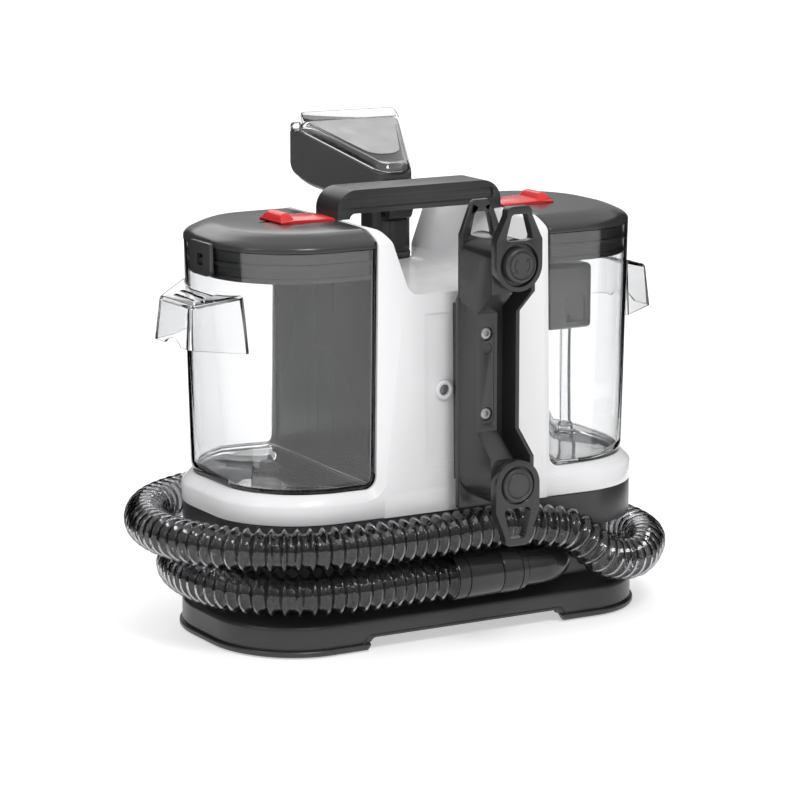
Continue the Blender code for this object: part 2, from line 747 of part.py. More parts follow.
def make_clip(side, name):
    """The snap clip that ties the lid to the tank's outer end."""
    middle = 7.0 * side
    half = 17.3
    corners = [(middle + y, z) for y, z in ((-half, 295), (half, 295), (half, 321), (-half, 321))]
    low, high = sorted((side * (TANK_TOP_PLAN[0] + 0.4), side * (TANK_TOP_PLAN[0] + 3.6)))
    clip = slab(f"{name}_clip", rounded(corners, 3, 3), low, high, "charcoal", plane="YZ")
    window = (low - 2, middle - 5, 302.5), (high + 2, middle + 5, 312)
    cut(clip, box(f"{name}_clip_window", *window))


def make_left_valve():
    """The clean tank's spring valve, which opens on the pump's socket."""
    profile = [(0, 10), (6, 10), (6, 6.4), (12, 6.4), (12, 3.9), (8.1, 3.9), (8.1, -4), (0, -4)]
    turned("left_tank_valve", profile, (-130, 0, DECK), "smoke", 24)


def make_recovery_parts():
    pipe_x = PORTS["right"][0]
    box_shell = box("separator_box", (84, -29, 226), (157, 29, 280), "smoke", edge=3.0)
    cut(box_shell, box("separator_inside", (87, -26, 229), (154, 26, 277)))
    door = [(132, 232), (150, 232)] + arc((141, 248), (9, 7), 0, 180, 8)
    cut(box_shell, slab("separator_door", door, -40, -20, plane="XZ"))
    cut(box_shell, cylinder("separator_port", (pipe_x, 0, 220), (pipe_x, 0, 232), 5.5, sides=24))
    cut(box_shell, cylinder("separator_outlet", (FLOAT_X, 0, 270), (FLOAT_X, 0, 285), 12, sides=24))
    float_profile = [(0, 20), (9, 20), (14, 15), (14, 3), (11, 0), (0, 0)]
    turned("shutoff_float", float_profile, (FLOAT_X, 0, FLOAT_FOOT), "red", 24)
    pipe = [(5.0, 229), (5.0, 142), (7.2, 138), (7.2, 131), (5.4, 131), (5.4, 137), (3.4, 141), (3.4, 229)]
    turned("standpipe", pipe, (pipe_x, 0, 0), "clear", 20)


# ---------------------------------------------------------------- cord bracket


def loop_outline(length, reach):
    """A long loop about its axis at the origin, pointing along +v."""
    outline = arc((0, 0), (reach, reach), 180, 360, 10)
    outline += [(reach, length * 0.42), (11.2, length - 7)]
    outline += arc((6.5, length - 5), (4.5, 5), 0, 90, 3)
    outline += arc((-6.5, length - 5), (4.5, 5), 90, 180, 3)
    outline += [(-11.2, length - 7), (-reach, length * 0.42)]
    return outline


def loop_hole(length, low):
    return rounded([(-12.5, low), (12.5, low), (6.8, length - 6), (-6.8, length - 6)], 3, 3)


def shifted(outline, z, flip=1):
    return [(x, z + flip * v) for x, v in outline]


def make_bracket():
    half = [(20.0, 110), (20.0, 277), (18.5, 281), (18.5, 327), (9, 351), (6, 353.6)]
    plate = half + [(-x, z) for x, z in reversed(half)]
    hole = [[(-10, 325), (10, 325), (5.5, 344), (-5.5, 344)]]
    back = slab("cord_bracket", plate, BRACKET_FACE, BRACKET_FACE + 6, "charcoal", "XZ", hole)
    arms = arc((0, RING_AXIS), (ARM_HALF, ARM_HALF), 180, 360, 10)
    arms += arc((0, HOOK_AXIS), (ARM_HALF, ARM_HALF), 0, 180, 10)
    spine = slab("bracket_spine", arms, ARM_FACE, BRACKET_FACE + 2, plane="XZ")
    recess = [(-182, 140), (NECK_FACE, 176), (NECK_FACE, 268.5), (-182, 305.5)]
    cut(spine, slab("bracket_waist", recess, -40, 40, plane="YZ"))
    seat = BRACKET_FACE + 5
    foot = [(seat, 130), (-core_front(130) - GAP, 130), (-core_front(270) - GAP, 270), (seat, 270)]
    stem = slab("bracket_stem", foot, -12, 12, plane="YZ")
    join(back, spine, stem)
    pocket = [(-118, 165), (-170, 122), (-170, 318), (-118, 284)]
    cut(back, slab("bracket_pocket", pocket, -1.0, 16.0, plane="YZ"))
    for index, z in enumerate((189.6, 252.6)):
        mouth, floor = (-9.8, NECK_FACE - 6, z), (-9.8, NECK_FACE + 4.4, z)
        cut(back, cylinder(f"bracket_screw_hole_{index}", mouth, floor, 5.4, sides=20))
        head, under = (-9.8, NECK_FACE + 1.2, z), (-9.8, NECK_FACE + 4.1, z)
        cylinder(f"bracket_screw_{index + 1}", head, under, 5.0, "metal", sides=20)


def make_loops():
    outline = shifted(loop_outline(45.2, 20.5), HOOK_AXIS)
    hook = slab(
        "cord_hook",
        outline,
        LOOP_FACE,
        ARM_FACE - 0.5,
        "charcoal",
        plane="XZ",
        holes=[shifted(loop_hole(45.2, 18.5), HOOK_AXIS)],
    )
    bevel(hook, 1.2, 1, 50)
    cut(hook, cylinder("hook_dish", (0, LOOP_FACE - 4, HOOK_AXIS), (0, LOOP_FACE + 3, HOOK_AXIS), 16.2, sides=28))
    lower = slab(
        "lower_loop",
        shifted(loop_outline(47.8, 19.6), RING_AXIS, -1),
        LOOP_FACE,
        ARM_FACE - 0.5,
        "charcoal",
        plane="XZ",
        holes=[shifted(loop_hole(47.8, 18), RING_AXIS, -1)],
    )
    bevel(lower, 1.2, 1, 50)
    cut(lower, cylinder("lower_dish", (0, LOOP_FACE - 4, RING_AXIS), (0, LOOP_FACE + 2, RING_AXIS), 14.6, sides=24))
    cylinder(
        "hook_knob", (0, LOOP_FACE - 4, HOOK_AXIS), (0, LOOP_FACE + 2.7, HOOK_AXIS), 13.7, "charcoal", sides=32, edge=1.4
    )
    cylinder(
        "lower_disc", (0, LOOP_FACE - 1.8, RING_AXIS), (0, LOOP_FACE + 1.7, RING_AXIS), 13.4, "charcoal", sides=24, edge=1.2
    )


# ---------------------------------------------------------------- inside the machine


def make_vacuum():
    housing = [(54, 30), (54, 0), (12, 0), (12, 3), (50, 3), (50, 30)]
    turned("fan_housing", housing, (FAN_X, 0, 136), "black", 36)
    wheel = [(6, 22), (6, 14), (46, 12), (46, 6), (4, 6), (4, 22)]
    impeller = turned("impeller", wheel, (FAN_X, 0, 136), "metal", 24)
    for index in range(8):
        blade = box(f"impeller_blade_{index}", (8, -1, 143), (44, 1, 156))
        blade.matrix_world = (
            Matrix.Translation(Vector((FAN_X, 0, 0)) * MM)
            @ Matrix.Rotation(math.radians(45 * index), 4, "Z")
            @ Matrix.Translation(Vector((26, 0, 149.5)) * MM)
        )
        join(impeller, blade)
    can = [(0, 80), (30, 80), (38, 72), (38, 4), (54, 4), (54, 0.3), (0, 0.3)]
    turned("vacuum_motor", can, (FAN_X, 0, 166), "metal", 36)


def make_pump_and_board():
    box("water_pump", (-112, -22, TRAY_LEDGE - 18.7), (-60, 22, 60), "black", edge=3.0)
    box("control_board", (20, 30, 20), (90, 32, 62), "green")
    line = [(PORTS["left"][0], 0, 122), (PORTS["left"][0], 0, 100), (-125, 0, 80), (-100, 0, 76)]
    line += [(-90, 0, 70), (-88, 0, 60.4)]
    tube_along("water_line", smooth_route(line, 14), 3.5, "clear")
    duct = [(ELBOW_AXIS, -60, 52), (ELBOW_AXIS, -50, 52), (100, -28, 56), (135, -6, 76)]
    duct += [(PORTS["right"][0], 0, 100), (PORTS["right"][0], 0, 116)]
    tube_along("suction_duct", smooth_route(duct, 18), 10.5, "black", 3)


def rear_face():
    """The plane that the switch's bezel stands on, clear of the leaning wall."""
    return core_front(SWITCH[1] - 14) + GAP


def make_rear_fittings():
    face = rear_face()
    x, z = SWITCH
    square = [(x + side, z + up) for side, up in ((-13.5, -13.5), (13.5, -13.5), (13.5, 13.5), (-13.5, 13.5))]
    window = [(x + side, z + up) for side, up in ((-9, -10), (9, -10), (9, 10), (-9, 10))]
    outline = rounded(square, 3, 3)
    bezel = slab("switch_bezel", outline, face, face + 2, "black", plane="XZ", holes=[window])
    bezel.data.shade_flat()
    profile = [(0.6, -8.2), (3.7, -8.2), (2.7, 0), (5.5, 8.2), (0.6, 8.2)]
    profile = [(face + out, z + up) for out, up in profile]
    rocker = slab("power_rocker", profile, x - 8.2, x + 8.2, "red", plane="YZ")
    rocker.data.shade_flat()
    x, z = INLET
    cylinder("power_inlet", (x, face - 4, z), (x, face + 11, z), 9.0, "black", sides=24, edge=1.0)


# ---------------------------------------------------------------- hose and its fittings


def hose_knots():
    """Corners of the hose's two turns, from its cuff at the front to the collar of the tool."""
    y_low, z_low = HOSE_LOW
    y_high, z_high = HOSE_HIGH
    return [
        (CUFF_END - GAP, y_low, z_low),
        (-60, y_low, z_low),
        (-112, y_low, z_low),
        (-152, -87, z_low),
        (-180, -60, z_low),
        (-193, -20, z_low),
        (-193, 22, z_low),
        (-180, 60, z_low),
        (-152, 87, z_low),
        (-110, 98, z_low),
        (-40, 98.5, z_low),
        (40, 98.5, z_low),
        (112, 98, z_low + 1),
        (154, 87, z_low + 2),
        (182, 60, z_low + 2),
        (195, 22, z_low + 1),
        (203, -16, z_low - 1),
        (198, -46, z_low - 2),
        (183, -71, z_low - 2),
        (157, -95, z_low - 5),
        (131, -106, z_low - 1),
        (113, -112, z_low + 7),
        (100, y_high - 2, z_high - 21),
        (84, y_high - 2, z_high - 9),
        (60, y_high - 2, z_high - 3),
        (30, y_high, z_high + 1),
        (-40, y_high, z_high),
        (-104, y_high, z_high),
        (-150, -103, z_high),
        (-188, -79, z_high),
        (-212, -40, z_high),
        (-221, 4, z_high),
        (-213, 50, z_high),
        (-190, 88, z_high + 1),
        (-152, 112, z_high + 2),
        (-104, 121, z_high + 4),
        (-58, 121, z_high + 8),
        (-20, 120, z_high + 22),
        (8, 119, z_high + 44),
        (24, 118, z_high + 68),
        *reversed(HOSE_RISE),
    ]


def make_hose():
    end = Vector((TOOL_X, TOOL_Y, COLLAR_FOOT - GAP))
    tube_along("hose", [*smooth_route(hose_knots(), 56), end], HOSE_RADIUS, "smoke")
    y, z = HOSE_LOW
    cylinder("hose_cuff", (CUFF_END, y, z), (21, y, z), 18.3, "black", sides=28, edge=1.2)
    cylinder("swivel_ring", (21.3, y, z), (45, y, z), 18.1, "black", sides=28, edge=1.2)
    bend = [(45.3, y), (60, y)] + arc((ELBOW_AXIS - 25, y + 25), (25, 25), -90, 0, 7) + [(ELBOW_AXIS, -62)]
    route = [(x, v, z) for x, v in without_repeats(bend)]
    tube_along("hose_elbow", route, 15.0, "black", 4)


# ---------------------------------------------------------------- hand tool


def head_section(reach, half, low, high, foot_corner, top_corner):
    """A section across the tool's head, which is turned a little about the grip; reach runs to its mouth."""
    foot, top = (foot_corner, foot_corner), (top_corner, top_corner)
    outline = arc((half - foot_corner, low + foot_corner), foot, -90, 0, 4)
    outline += arc((half - top_corner, high - top_corner), top, 0, 90, 3)
    outline += arc((top_corner - half, high - top_corner), top, 90, 180, 3)
    outline += arc((foot_corner - half, low + foot_corner), foot, 180, 270, 4)
    along, across = math.cos(HEAD_TURN), math.sin(HEAD_TURN)
    return [(TOOL_X + x * along + reach * across, TOOL_Y + reach * along - x * across, z) for x, z in outline]


def cover_line(reach):
    """Height of the seam between the tool's dark body and its clear cover."""
    return 350.5 + (reach - HEAD_NOSE) * 0.31


def head_half(reach):
    return 14.5 + (reach - HEAD_NOSE) * (52.0 - 14.5) / (HEAD_MOUTH - HEAD_NOSE)


def trigger_bed(name):
    """The room that the trigger swings in."""
    reach = TRIGGER_HALF + 0.7
    return box(name, (TRIGGER_X - reach, TOOL_Y - 34, 310.5), (TRIGGER_X + reach, TOOL_Y - 15.5, 345.5))


def make_tool_body():
    grip_profile = [(0, 52), (17.5, 52), (GRIP_RADIUS, 48), (GRIP_RADIUS, 1.5), (19.2, 0), (0, 0)]
    grip = turned("tool_grip", grip_profile, (TOOL_X, TOOL_Y, 284.2), "black", 28)
    cut(grip, trigger_bed("grip_trigger_bed"))
    collar = [(0, 12.9), (20.8, 12.9), (20.8, 1.0), (20.0, 0), (0, 0)]
    turned("tool_collar", collar, (TOOL_X, TOOL_Y, COLLAR_FOOT), "charcoal", 28)
    stations = ((-21, 339, 3.0), (-18.5, 337.4, 0.8), (-12, 336.6, 0.0), (4, 336.6, 0.0), (22, 328, 0.0))
    stations += ((38, 328.4, 0.0), (56, 330.4, 0.0), (70, 334.6, 0.0))
    rings = []
    for reach, low, narrow in stations:
        corner = 3.5 + 8.0 * max(0.0, reach) / HEAD_MOUTH
        rings.append(head_section(reach, head_half(reach) - narrow, low, cover_line(reach), corner, 1.5))
    for back, low, high, narrow in ((5.0, 337.0, 379.6, 0.0), (1.2, 341.0, 378.0, 1.0), (0.0, 345.0, 376.6, 2.6)):
        half = head_half(HEAD_MOUTH - back) - narrow
        rings.append(head_section(HEAD_MOUTH - back, half, low, high, 11.5, 3.0))
    head = loft("tool_head", rings, "charcoal")
    cut(head, cylinder("head_seat", (TOOL_X, TOOL_Y, 300), (TOOL_X, TOOL_Y, 336.5), 21.0, sides=28))
    cut(head, trigger_bed("head_trigger_bed"))


def make_tool_cover():
    """The clear suction channel on the tool's head, open under it and at its mouth."""
    stations = ((-22.2, 1.4, 6.0), (-20.6, 3.6, 2.8), (-15, 5.8, 1.2), (0, 7.6, 0.4), (62, 8.0, 0.0))
    stations += ((66.5, 13.2, -0.6), (73, 12.8, -0.6))

    def rings(inset, drop):
        made = []
        for reach, rise, narrow in stations:
            if reach < -20:
                reach += inset
            elif reach > 70:
                reach += inset
            half = head_half(reach) - narrow - inset
            low = cover_line(reach) + GAP - drop
            made.append(head_section(reach, half, low, cover_line(reach) + rise - inset * 0.8, 0.4, 0.6))
        return made

    cover = loft("tool_cover", rings(0.0, 0.0), "clear")
    cut(cover, loft("tool_cover_hollow", rings(2.2, 6.0)))


def make_tool_details():
    back = TOOL_Y - 21.1
    trigger = [(back, 343.5), (back, 313)] + arc((back - 2.4, 325), (7, 12), -90, -180, 4)
    trigger += [(back - 7.6, 333), (back - 3.4, 343.5)]
    low, high = TRIGGER_X - TRIGGER_HALF, TRIGGER_X + TRIGGER_HALF
    slab("trigger", trigger, low, high, "black", plane="YZ", edge=1.6)
    x = TOOL_X + 62 * math.sin(HEAD_TURN)
    y = TOOL_Y + 62 * math.cos(HEAD_TURN)
    cylinder("spray_tip", (x, y, 322), (x, y, 329.8), 5.0, "black", radius_end=7.5, sides=20)


# ---------------------------------------------------------------- joints


def hang(pivot, place, pieces, parent=None):
    """Puts an empty on a joint's axis and parents the pieces that move together to it, where they stand."""
    empty = bpy.data.objects.new(pivot, None)
    PARTS.objects.link(empty)
    empty.empty_display_size = 0.02
    empty.matrix_world = Matrix.Translation(Vector(place) * MM)
    for piece in pieces:
        obj = bpy.data.objects[piece]
        obj.parent = empty
        obj.matrix_parent_inverse = Matrix.Translation(Vector(place) * -MM)
    if parent is not None:
        empty.parent = parent
        empty.matrix_parent_inverse = Matrix.Translation(-parent.matrix_world.translation)
    return empty


def place_joints():
    for side, name, inside in ((-1, "left", ["left_tank_valve"]), (1, "right", ["separator_box", "standpipe"])):
        middle = side * 132
        tank = hang(f"{name}_tank_lift", (middle, 0, DECK), [f"{name}_tank", f"{name}_hood", *inside])
        own = [f"{name}_lid", f"{name}_lid_seal", f"{name}_clip"]
        lid = hang(f"{name}_lid_lift", (middle, 0, LID_SEAM), own, tank)
        hang(f"{name}_latch_slide", (side * 104, 0, LID_TOP), [f"{name}_latch"], lid)
        if side > 0:
            hang("float_rise", (FLOAT_X, 0, FLOAT_FOOT), ["shutoff_float"], tank)
    hang("hook_turn", (0, ARM_FACE, HOOK_AXIS), ["cord_hook", "hook_knob"])
    hang("swivel_turn", (33, *HOSE_LOW), ["swivel_ring"])
    hang("impeller_spin", (FAN_X, 0, 147), ["impeller"])
    hang("rocker_tilt", (SWITCH[0], rear_face(), SWITCH[1]), ["power_rocker"])
    tool = hang("tool_lift", (TOOL_X, TOOL_Y, COLLAR_FOOT), TOOL_PIECES)
    hang("trigger_swing", (TRIGGER_X, *TRIGGER_AXIS), ["trigger"], tool)


def main():
    make_base_tray()
    make_feet()
    make_waist()
    make_body()
    make_end_panels()
    make_front_screw()
    make_handle()
    for side, name in ((-1, "left"), (1, "right")):
        make_tank(side, name)
        make_hood(side, name)
        make_lid(side, name)
        make_seal(side, name)
        make_latch(side, name)
        make_clip(side, name)
    make_left_valve()
    make_recovery_parts()
    make_bracket()
    make_loops()
    make_vacuum()
    make_pump_and_board()
    make_rear_fittings()
    make_hose()
    make_tool_body()
    make_tool_cover()
    make_tool_details()
    bpy.context.view_layer.update()
    place_joints()


main()
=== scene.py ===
"""Looks of the two-tank spot extractor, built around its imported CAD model.

Lengths in this script are millimetres, turned into metres where a mesh is made. +X runs to the recovery
tank, -Y is the front with the cord bracket, +Z is up and the floor is at zero.
"""

import json
import math

import bmesh
import bpy
from mathutils import Matrix, Vector


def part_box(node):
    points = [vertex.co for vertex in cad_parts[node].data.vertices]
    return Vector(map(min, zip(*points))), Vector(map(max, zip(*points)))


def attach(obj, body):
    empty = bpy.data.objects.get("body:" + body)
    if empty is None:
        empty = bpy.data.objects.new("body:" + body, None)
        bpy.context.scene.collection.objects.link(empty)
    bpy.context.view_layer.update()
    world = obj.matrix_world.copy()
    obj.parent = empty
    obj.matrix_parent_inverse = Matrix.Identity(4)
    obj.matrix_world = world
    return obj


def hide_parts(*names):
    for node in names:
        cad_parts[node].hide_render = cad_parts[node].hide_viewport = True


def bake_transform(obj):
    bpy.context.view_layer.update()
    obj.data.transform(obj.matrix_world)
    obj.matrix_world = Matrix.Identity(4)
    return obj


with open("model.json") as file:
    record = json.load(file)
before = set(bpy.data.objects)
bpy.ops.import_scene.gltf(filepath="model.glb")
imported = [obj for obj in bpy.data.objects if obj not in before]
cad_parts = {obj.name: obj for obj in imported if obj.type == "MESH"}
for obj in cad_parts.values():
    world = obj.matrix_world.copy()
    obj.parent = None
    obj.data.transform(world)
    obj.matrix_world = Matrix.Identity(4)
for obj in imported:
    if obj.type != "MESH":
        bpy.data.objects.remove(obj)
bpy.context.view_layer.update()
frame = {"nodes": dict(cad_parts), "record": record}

MM = 0.001
GAP = 0.3
SCENE = bpy.context.scene


def low_of(node):
    return [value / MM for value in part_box(node)[0]]


def high_of(node):
    return [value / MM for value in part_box(node)[1]]


# ---------------------------------------------------------------- sizes

# Plan shapes: half length, half width, and the two half axes of the corner curves.
BASE_PLAN = (high_of("base_tray")[0], high_of("base_tray")[1], 66.7, 76.0)
RING_PLAN = (high_of("body_rear")[0], high_of("body_rear")[1] - 0.15, 72.8, 70.0)
TANK_TOP_PLAN = (high_of("right_lid")[0], high_of("right_lid")[1], 71.0, 76.0)
TANK_FOOT_PLAN = (179.1, high_of("right_tank")[1], 71.0, 63.0)
WAIST_PLAN = (168.0, 74.0, 55.0, 52.0)
ARC_STEPS = 20

TRAY_FOOT = low_of("base_tray")[2]
TRAY_LEDGE = high_of("base_tray")[2]
TRAY_EDGE = TRAY_LEDGE - 8.0
BAND_FOOT = 76.0
RING_FOOT = low_of("body_front")[2]
RING_SHOULDER = RING_FOOT + 15.5
DECK = low_of("right_tank")[2] - GAP
LID_SEAM = low_of("right_lid")[2]
TOWER_TOP = high_of("body_front")[2]
FLOOR_OF_VALLEY = TOWER_TOP - 51.0
HANDLE_TOP = high_of("handle")[2]
HANDLE_UNDERSIDE = HANDLE_TOP - 18.8
LID_TOP = high_of("right_lid")[2]
LATCH_BED = LID_TOP - 3.8
LATCH_HALF = high_of("right_latch")[1]

TANK_SIDE = low_of("right_lid")[0]
CORE_HALF = TANK_SIDE - 0.6
CORE_TOP_FRONT = 87.8
CORE_INSIDE = 84.6
CORE_CHAMFER = 5.5
PANEL_BACK = CORE_HALF - 2.4
TANK_WALL = 2.6
TANK_TAPER = 2.6
TANK_CORNER = 10.0
VALLEY_TOP_HALF = 66.5
VALLEY_FLOOR_HALF = 49.5
PORTS = {"left": (-130.0, 13.0), "right": (150.0, 10.0)}

HOSE_RADIUS = 17.5
RIB_PITCH = 10.0
RIB_DEPTH = 4.3
HOSE_LOW = (-98.0, 52.0)
HOSE_HIGH = (-111.0, 90.5)
CUFF_END = low_of("hose_cuff")[0]
CUFF_TOP = high_of("hose_cuff")[0]
ELBOW_AXIS = high_of("hose_elbow")[0] - 15.0

TOOL_X = (low_of("tool_collar")[0] + high_of("tool_collar")[0]) / 2
TOOL_Y = (low_of("tool_collar")[1] + high_of("tool_collar")[1]) / 2
COLLAR_FOOT = low_of("tool_collar")[2]
GRIP_RADIUS = (high_of("tool_grip")[0] - low_of("tool_grip")[0]) / 2
HEAD_NOSE = -21.0
HEAD_MOUTH = 80.0
HEAD_TURN = math.radians(3.5)
TRIGGER_X = (low_of("trigger")[0] + high_of("trigger")[0]) / 2
TRIGGER_HALF = high_of("trigger")[0] - TRIGGER_X

BRACKET_FACE = -113.0
NECK_FACE = -138.0
ARM_FACE = low_of("cord_bracket")[1]
LOOP_FACE = low_of("lower_loop")[1]
HOOK_AXIS = (low_of("hook_knob")[2] + high_of("hook_knob")[2]) / 2
RING_AXIS = (low_of("lower_disc")[2] + high_of("lower_disc")[2]) / 2
ARM_HALF = 19.3
BODY_SCREW = ((low_of("body_screw")[0] + high_of("body_screw")[0]) / 2, 201.7)
SWITCH = (-45.0, 208.0)
INLET = (-45.0, 150.0)

CAMERA_AZIMUTH = math.radians(-29.83)
CAMERA_ELEVATION = math.radians(11.31)
CAMERA_TARGET = Vector((-6.24, 3.58, 175.84)) * MM
CAMERA_DISTANCE = 2.8107


# ---------------------------------------------------------------- camera, light and floor


def aim(obj, target):
    direction = Vector(target) - obj.location
    obj.rotation_euler = direction.to_track_quat("-Z", "Y").to_euler()


def make_camera():
    level = math.cos(CAMERA_ELEVATION)
    away = Vector(
        (math.sin(CAMERA_AZIMUTH) * level, -math.cos(CAMERA_AZIMUTH) * level, math.sin(CAMERA_ELEVATION))
    )
    data = bpy.data.cameras.new("camera")
    data.lens = 156.2
    data.sensor_width = 36.0
    data.clip_end = 100.0
    camera = bpy.data.objects.new("camera", data)
    SCENE.collection.objects.link(camera)
    camera.location = CAMERA_TARGET + away * CAMERA_DISTANCE
    aim(camera, CAMERA_TARGET)
    SCENE.camera = camera


def set_inputs(node, values):
    for name, value in values.items():
        node.inputs[name].default_value = value


def make_area_light(name, place, target, size, power):
    data = bpy.data.lights.new(name, "AREA")
    data.shape = "RECTANGLE"
    data.size, data.size_y = size
    data.energy = power
    light = bpy.data.objects.new(name, data)
    SCENE.collection.objects.link(light)
    light.location = place
    aim(light, target)


def make_world():
    world = bpy.data.worlds.new("studio")
    world.use_nodes = True
    nodes, links = world.node_tree.nodes, world.node_tree.links
    background = nodes["Background"]
    coordinates = nodes.new("ShaderNodeTexCoord")
    split = nodes.new("ShaderNodeSeparateXYZ")
    ramp = nodes.new("ShaderNodeValToRGB")
    ramp.color_ramp.elements[0].position = 0.05
    ramp.color_ramp.elements[0].color = (0.30, 0.30, 0.305, 1)
    ramp.color_ramp.elements[1].position = 0.9
    ramp.color_ramp.elements[1].color = (0.95, 0.95, 0.95, 1)
    links.new(coordinates.outputs["Generated"], split.inputs[0])
    links.new(split.outputs["Z"], ramp.inputs[0])
    links.new(ramp.outputs[0], background.inputs["Color"])
    background.inputs["Strength"].default_value = 1.0
    SCENE.world = world


def make_dark_card(name, side):
    """A black board beside the object, out of view: it draws dark edges in clear and glossy plastic."""
    material = bpy.data.materials.new(name)
    material.use_nodes = True
    shader = material.node_tree.nodes["Principled BSDF"]
    set_inputs(shader, {
        "Base Color": (0.006, 0.006, 0.006, 1), "Roughness": 0.9, "Specular IOR Level": 0.0,
    })
    across = Vector((math.cos(CAMERA_AZIMUTH), math.sin(CAMERA_AZIMUTH), 0))
    along = Vector((-across.y, across.x, 0))
    offset, near = (0.44, -0.30) if side < 0 else (0.40, -0.05)
    far, height = 1.0, 0.62
    middle = across * side * offset
    corners = [(near, 0.0), (far, 0.0), (far, height), (near, height)]
    corners = [middle + along * u + Vector((0, 0, v)) for u, v in corners]
    mesh = bpy.data.meshes.new(name)
    mesh.from_pydata([tuple(corner) for corner in corners], [], [(0, 1, 2, 3)])
    mesh.materials.append(material)
    card = bpy.data.objects.new(name, mesh)
    SCENE.collection.objects.link(card)
    card.visible_camera = False
    card.visible_diffuse = False
    card.visible_shadow = False


def make_stage():
    grid = bmesh.new()
    bmesh.ops.create_grid(grid, x_segments=1, y_segments=1, size=30.0)
    mesh = bpy.data.meshes.new("floor")
    grid.to_mesh(mesh)
    grid.free()
    floor = bpy.data.objects.new("floor", mesh)
    SCENE.collection.objects.link(floor)
    material = bpy.data.materials.new("floor_paper")
    material.use_nodes = True
    shader = material.node_tree.nodes["Principled BSDF"]
    set_inputs(shader, {
        "Base Color": (0.72, 0.72, 0.72, 1), "Roughness": 0.9, "Specular IOR Level": 0.1,
        "Emission Color": (1.0, 1.0, 1.0, 1), "Emission Strength": 0.50,
    })
    mesh.materials.append(material)
    make_area_light("front_softbox", (-0.2, -1.7, 2.2), (0, 0, 0.15), (0.7, 0.7), 24)
    make_area_light("left_softbox", (-2.4, -0.2, 1.6), (0, 0, 0.2), (1.0, 1.4), 9)
    make_area_light("back_softbox", (0.5, 2.6, 1.8), (0, 0, 0.2), (2.4, 1.4), 14)
    for side in (-1, 1):
        make_dark_card(f"dark_card_{side}", side)
    SCENE.view_settings.view_transform = "Standard"
    SCENE.view_settings.look = "None"


# ---------------------------------------------------------------- materials


def add_noise(tree, scale, detail=3.0, roughness=0.5):
    """Noise measured in object space, so that its grain has the same size on every piece."""
    coordinates = tree.nodes.new("ShaderNodeTexCoord")
    noise = tree.nodes.new("ShaderNodeTexNoise")
    set_inputs(noise, {"Scale": scale, "Detail": detail, "Roughness": roughness})
    tree.links.new(coordinates.outputs["Object"], noise.inputs["Vector"])
    return noise.outputs["Fac"]


def add_range(tree, source, low, high, to_low, to_high):
    """Maps a noise value onto a range."""
    node = tree.nodes.new("ShaderNodeMapRange")
    set_inputs(node, {"From Min": low, "From Max": high, "To Min": to_low, "To Max": to_high})
    tree.links.new(source, node.inputs["Value"])
    return node.outputs["Result"]


def add_mix(tree, factor, first, second):
    node = tree.nodes.new("ShaderNodeMix")
    node.data_type = "RGBA"
    set_inputs(node, {"A": (*first, 1), "B": (*second, 1)})
    tree.links.new(factor, node.inputs["Factor"])
    return node.outputs["Result"]


def add_bump(tree, shader, height, strength, distance):
    bump = tree.nodes.new("ShaderNodeBump")
    set_inputs(bump, {"Strength": strength, "Distance": distance})
    tree.links.new(height, bump.inputs["Height"])
    tree.links.new(bump.outputs["Normal"], shader.inputs["Normal"])


def add_edge_highlight(tree, amount):
    """Paler where a surface bends outwards: a painted highlight along its edges."""
    geometry = tree.nodes.new("ShaderNodeNewGeometry")
    return add_range(tree, geometry.outputs["Pointiness"], 0.51, 0.58, 0.0, amount)


def new_material(name):
    material = bpy.data.materials.new(name)
    material.use_nodes = True
    return material, material.node_tree, material.node_tree.nodes["Principled BSDF"]


def scaled(colour, factor):
    return tuple(min(1.0, channel * factor) for channel in colour)


def plastic(name, colour, roughness, grain=900.0, bump=0.12, shift=0.10, edge_highlight=0.25):
    """Moulded plastic: slow colour drift, a fine spark-eroded grain, cloudy gloss and a painted highlight
    along the edges.
    """
    material, tree, shader = new_material(name)
    drift = add_range(tree, add_noise(tree, 9.0), 0.3, 0.7, 0.0, 1.0)
    base = add_mix(tree, drift, scaled(colour, 1 - shift), scaled(colour, 1 + shift))
    # painted highlight: where the surface bends outwards, the colour is mixed towards a paler one
    highlighted_edges = tree.nodes.new("ShaderNodeMix")
    highlighted_edges.data_type = "RGBA"
    highlighted_edges.inputs["B"].default_value = (*scaled(tuple(c + 0.05 for c in colour), 1.6), 1)
    tree.links.new(add_edge_highlight(tree, edge_highlight), highlighted_edges.inputs["Factor"])
    tree.links.new(base, highlighted_edges.inputs["A"])
    tree.links.new(highlighted_edges.outputs["Result"], shader.inputs["Base Color"])
    cloud = add_noise(tree, 38.0, 5.0, 0.6)
    tree.links.new(
        add_range(tree, cloud, 0.3, 0.7, roughness * 0.85, roughness * 1.18), shader.inputs["Roughness"]
    )
    shader.inputs["IOR"].default_value = 1.5
    add_bump(tree, shader, add_noise(tree, grain, 2.0, 0.6), bump, 0.00012)
    return material


def clear_plastic(name, tint, roughness=0.015, ior=1.49, transmission=1.0, bump=0.02):
    """Polished clear moulding with a faint waviness and cloudiness."""
    material, tree, shader = new_material(name)
    drift = add_range(tree, add_noise(tree, 6.0), 0.3, 0.7, 0.0, 1.0)
    tree.links.new(add_mix(tree, drift, scaled(tint, 0.985), tint), shader.inputs["Base Color"])
    haze = add_range(tree, add_noise(tree, 60.0, 4.0), 0.35, 0.8, roughness, roughness * 2.5)
    tree.links.new(haze, shader.inputs["Roughness"])
    set_inputs(shader, {"Transmission Weight": transmission, "IOR": ior})
    add_bump(tree, shader, add_noise(tree, 14.0, 1.0), bump, 0.001)
    return material


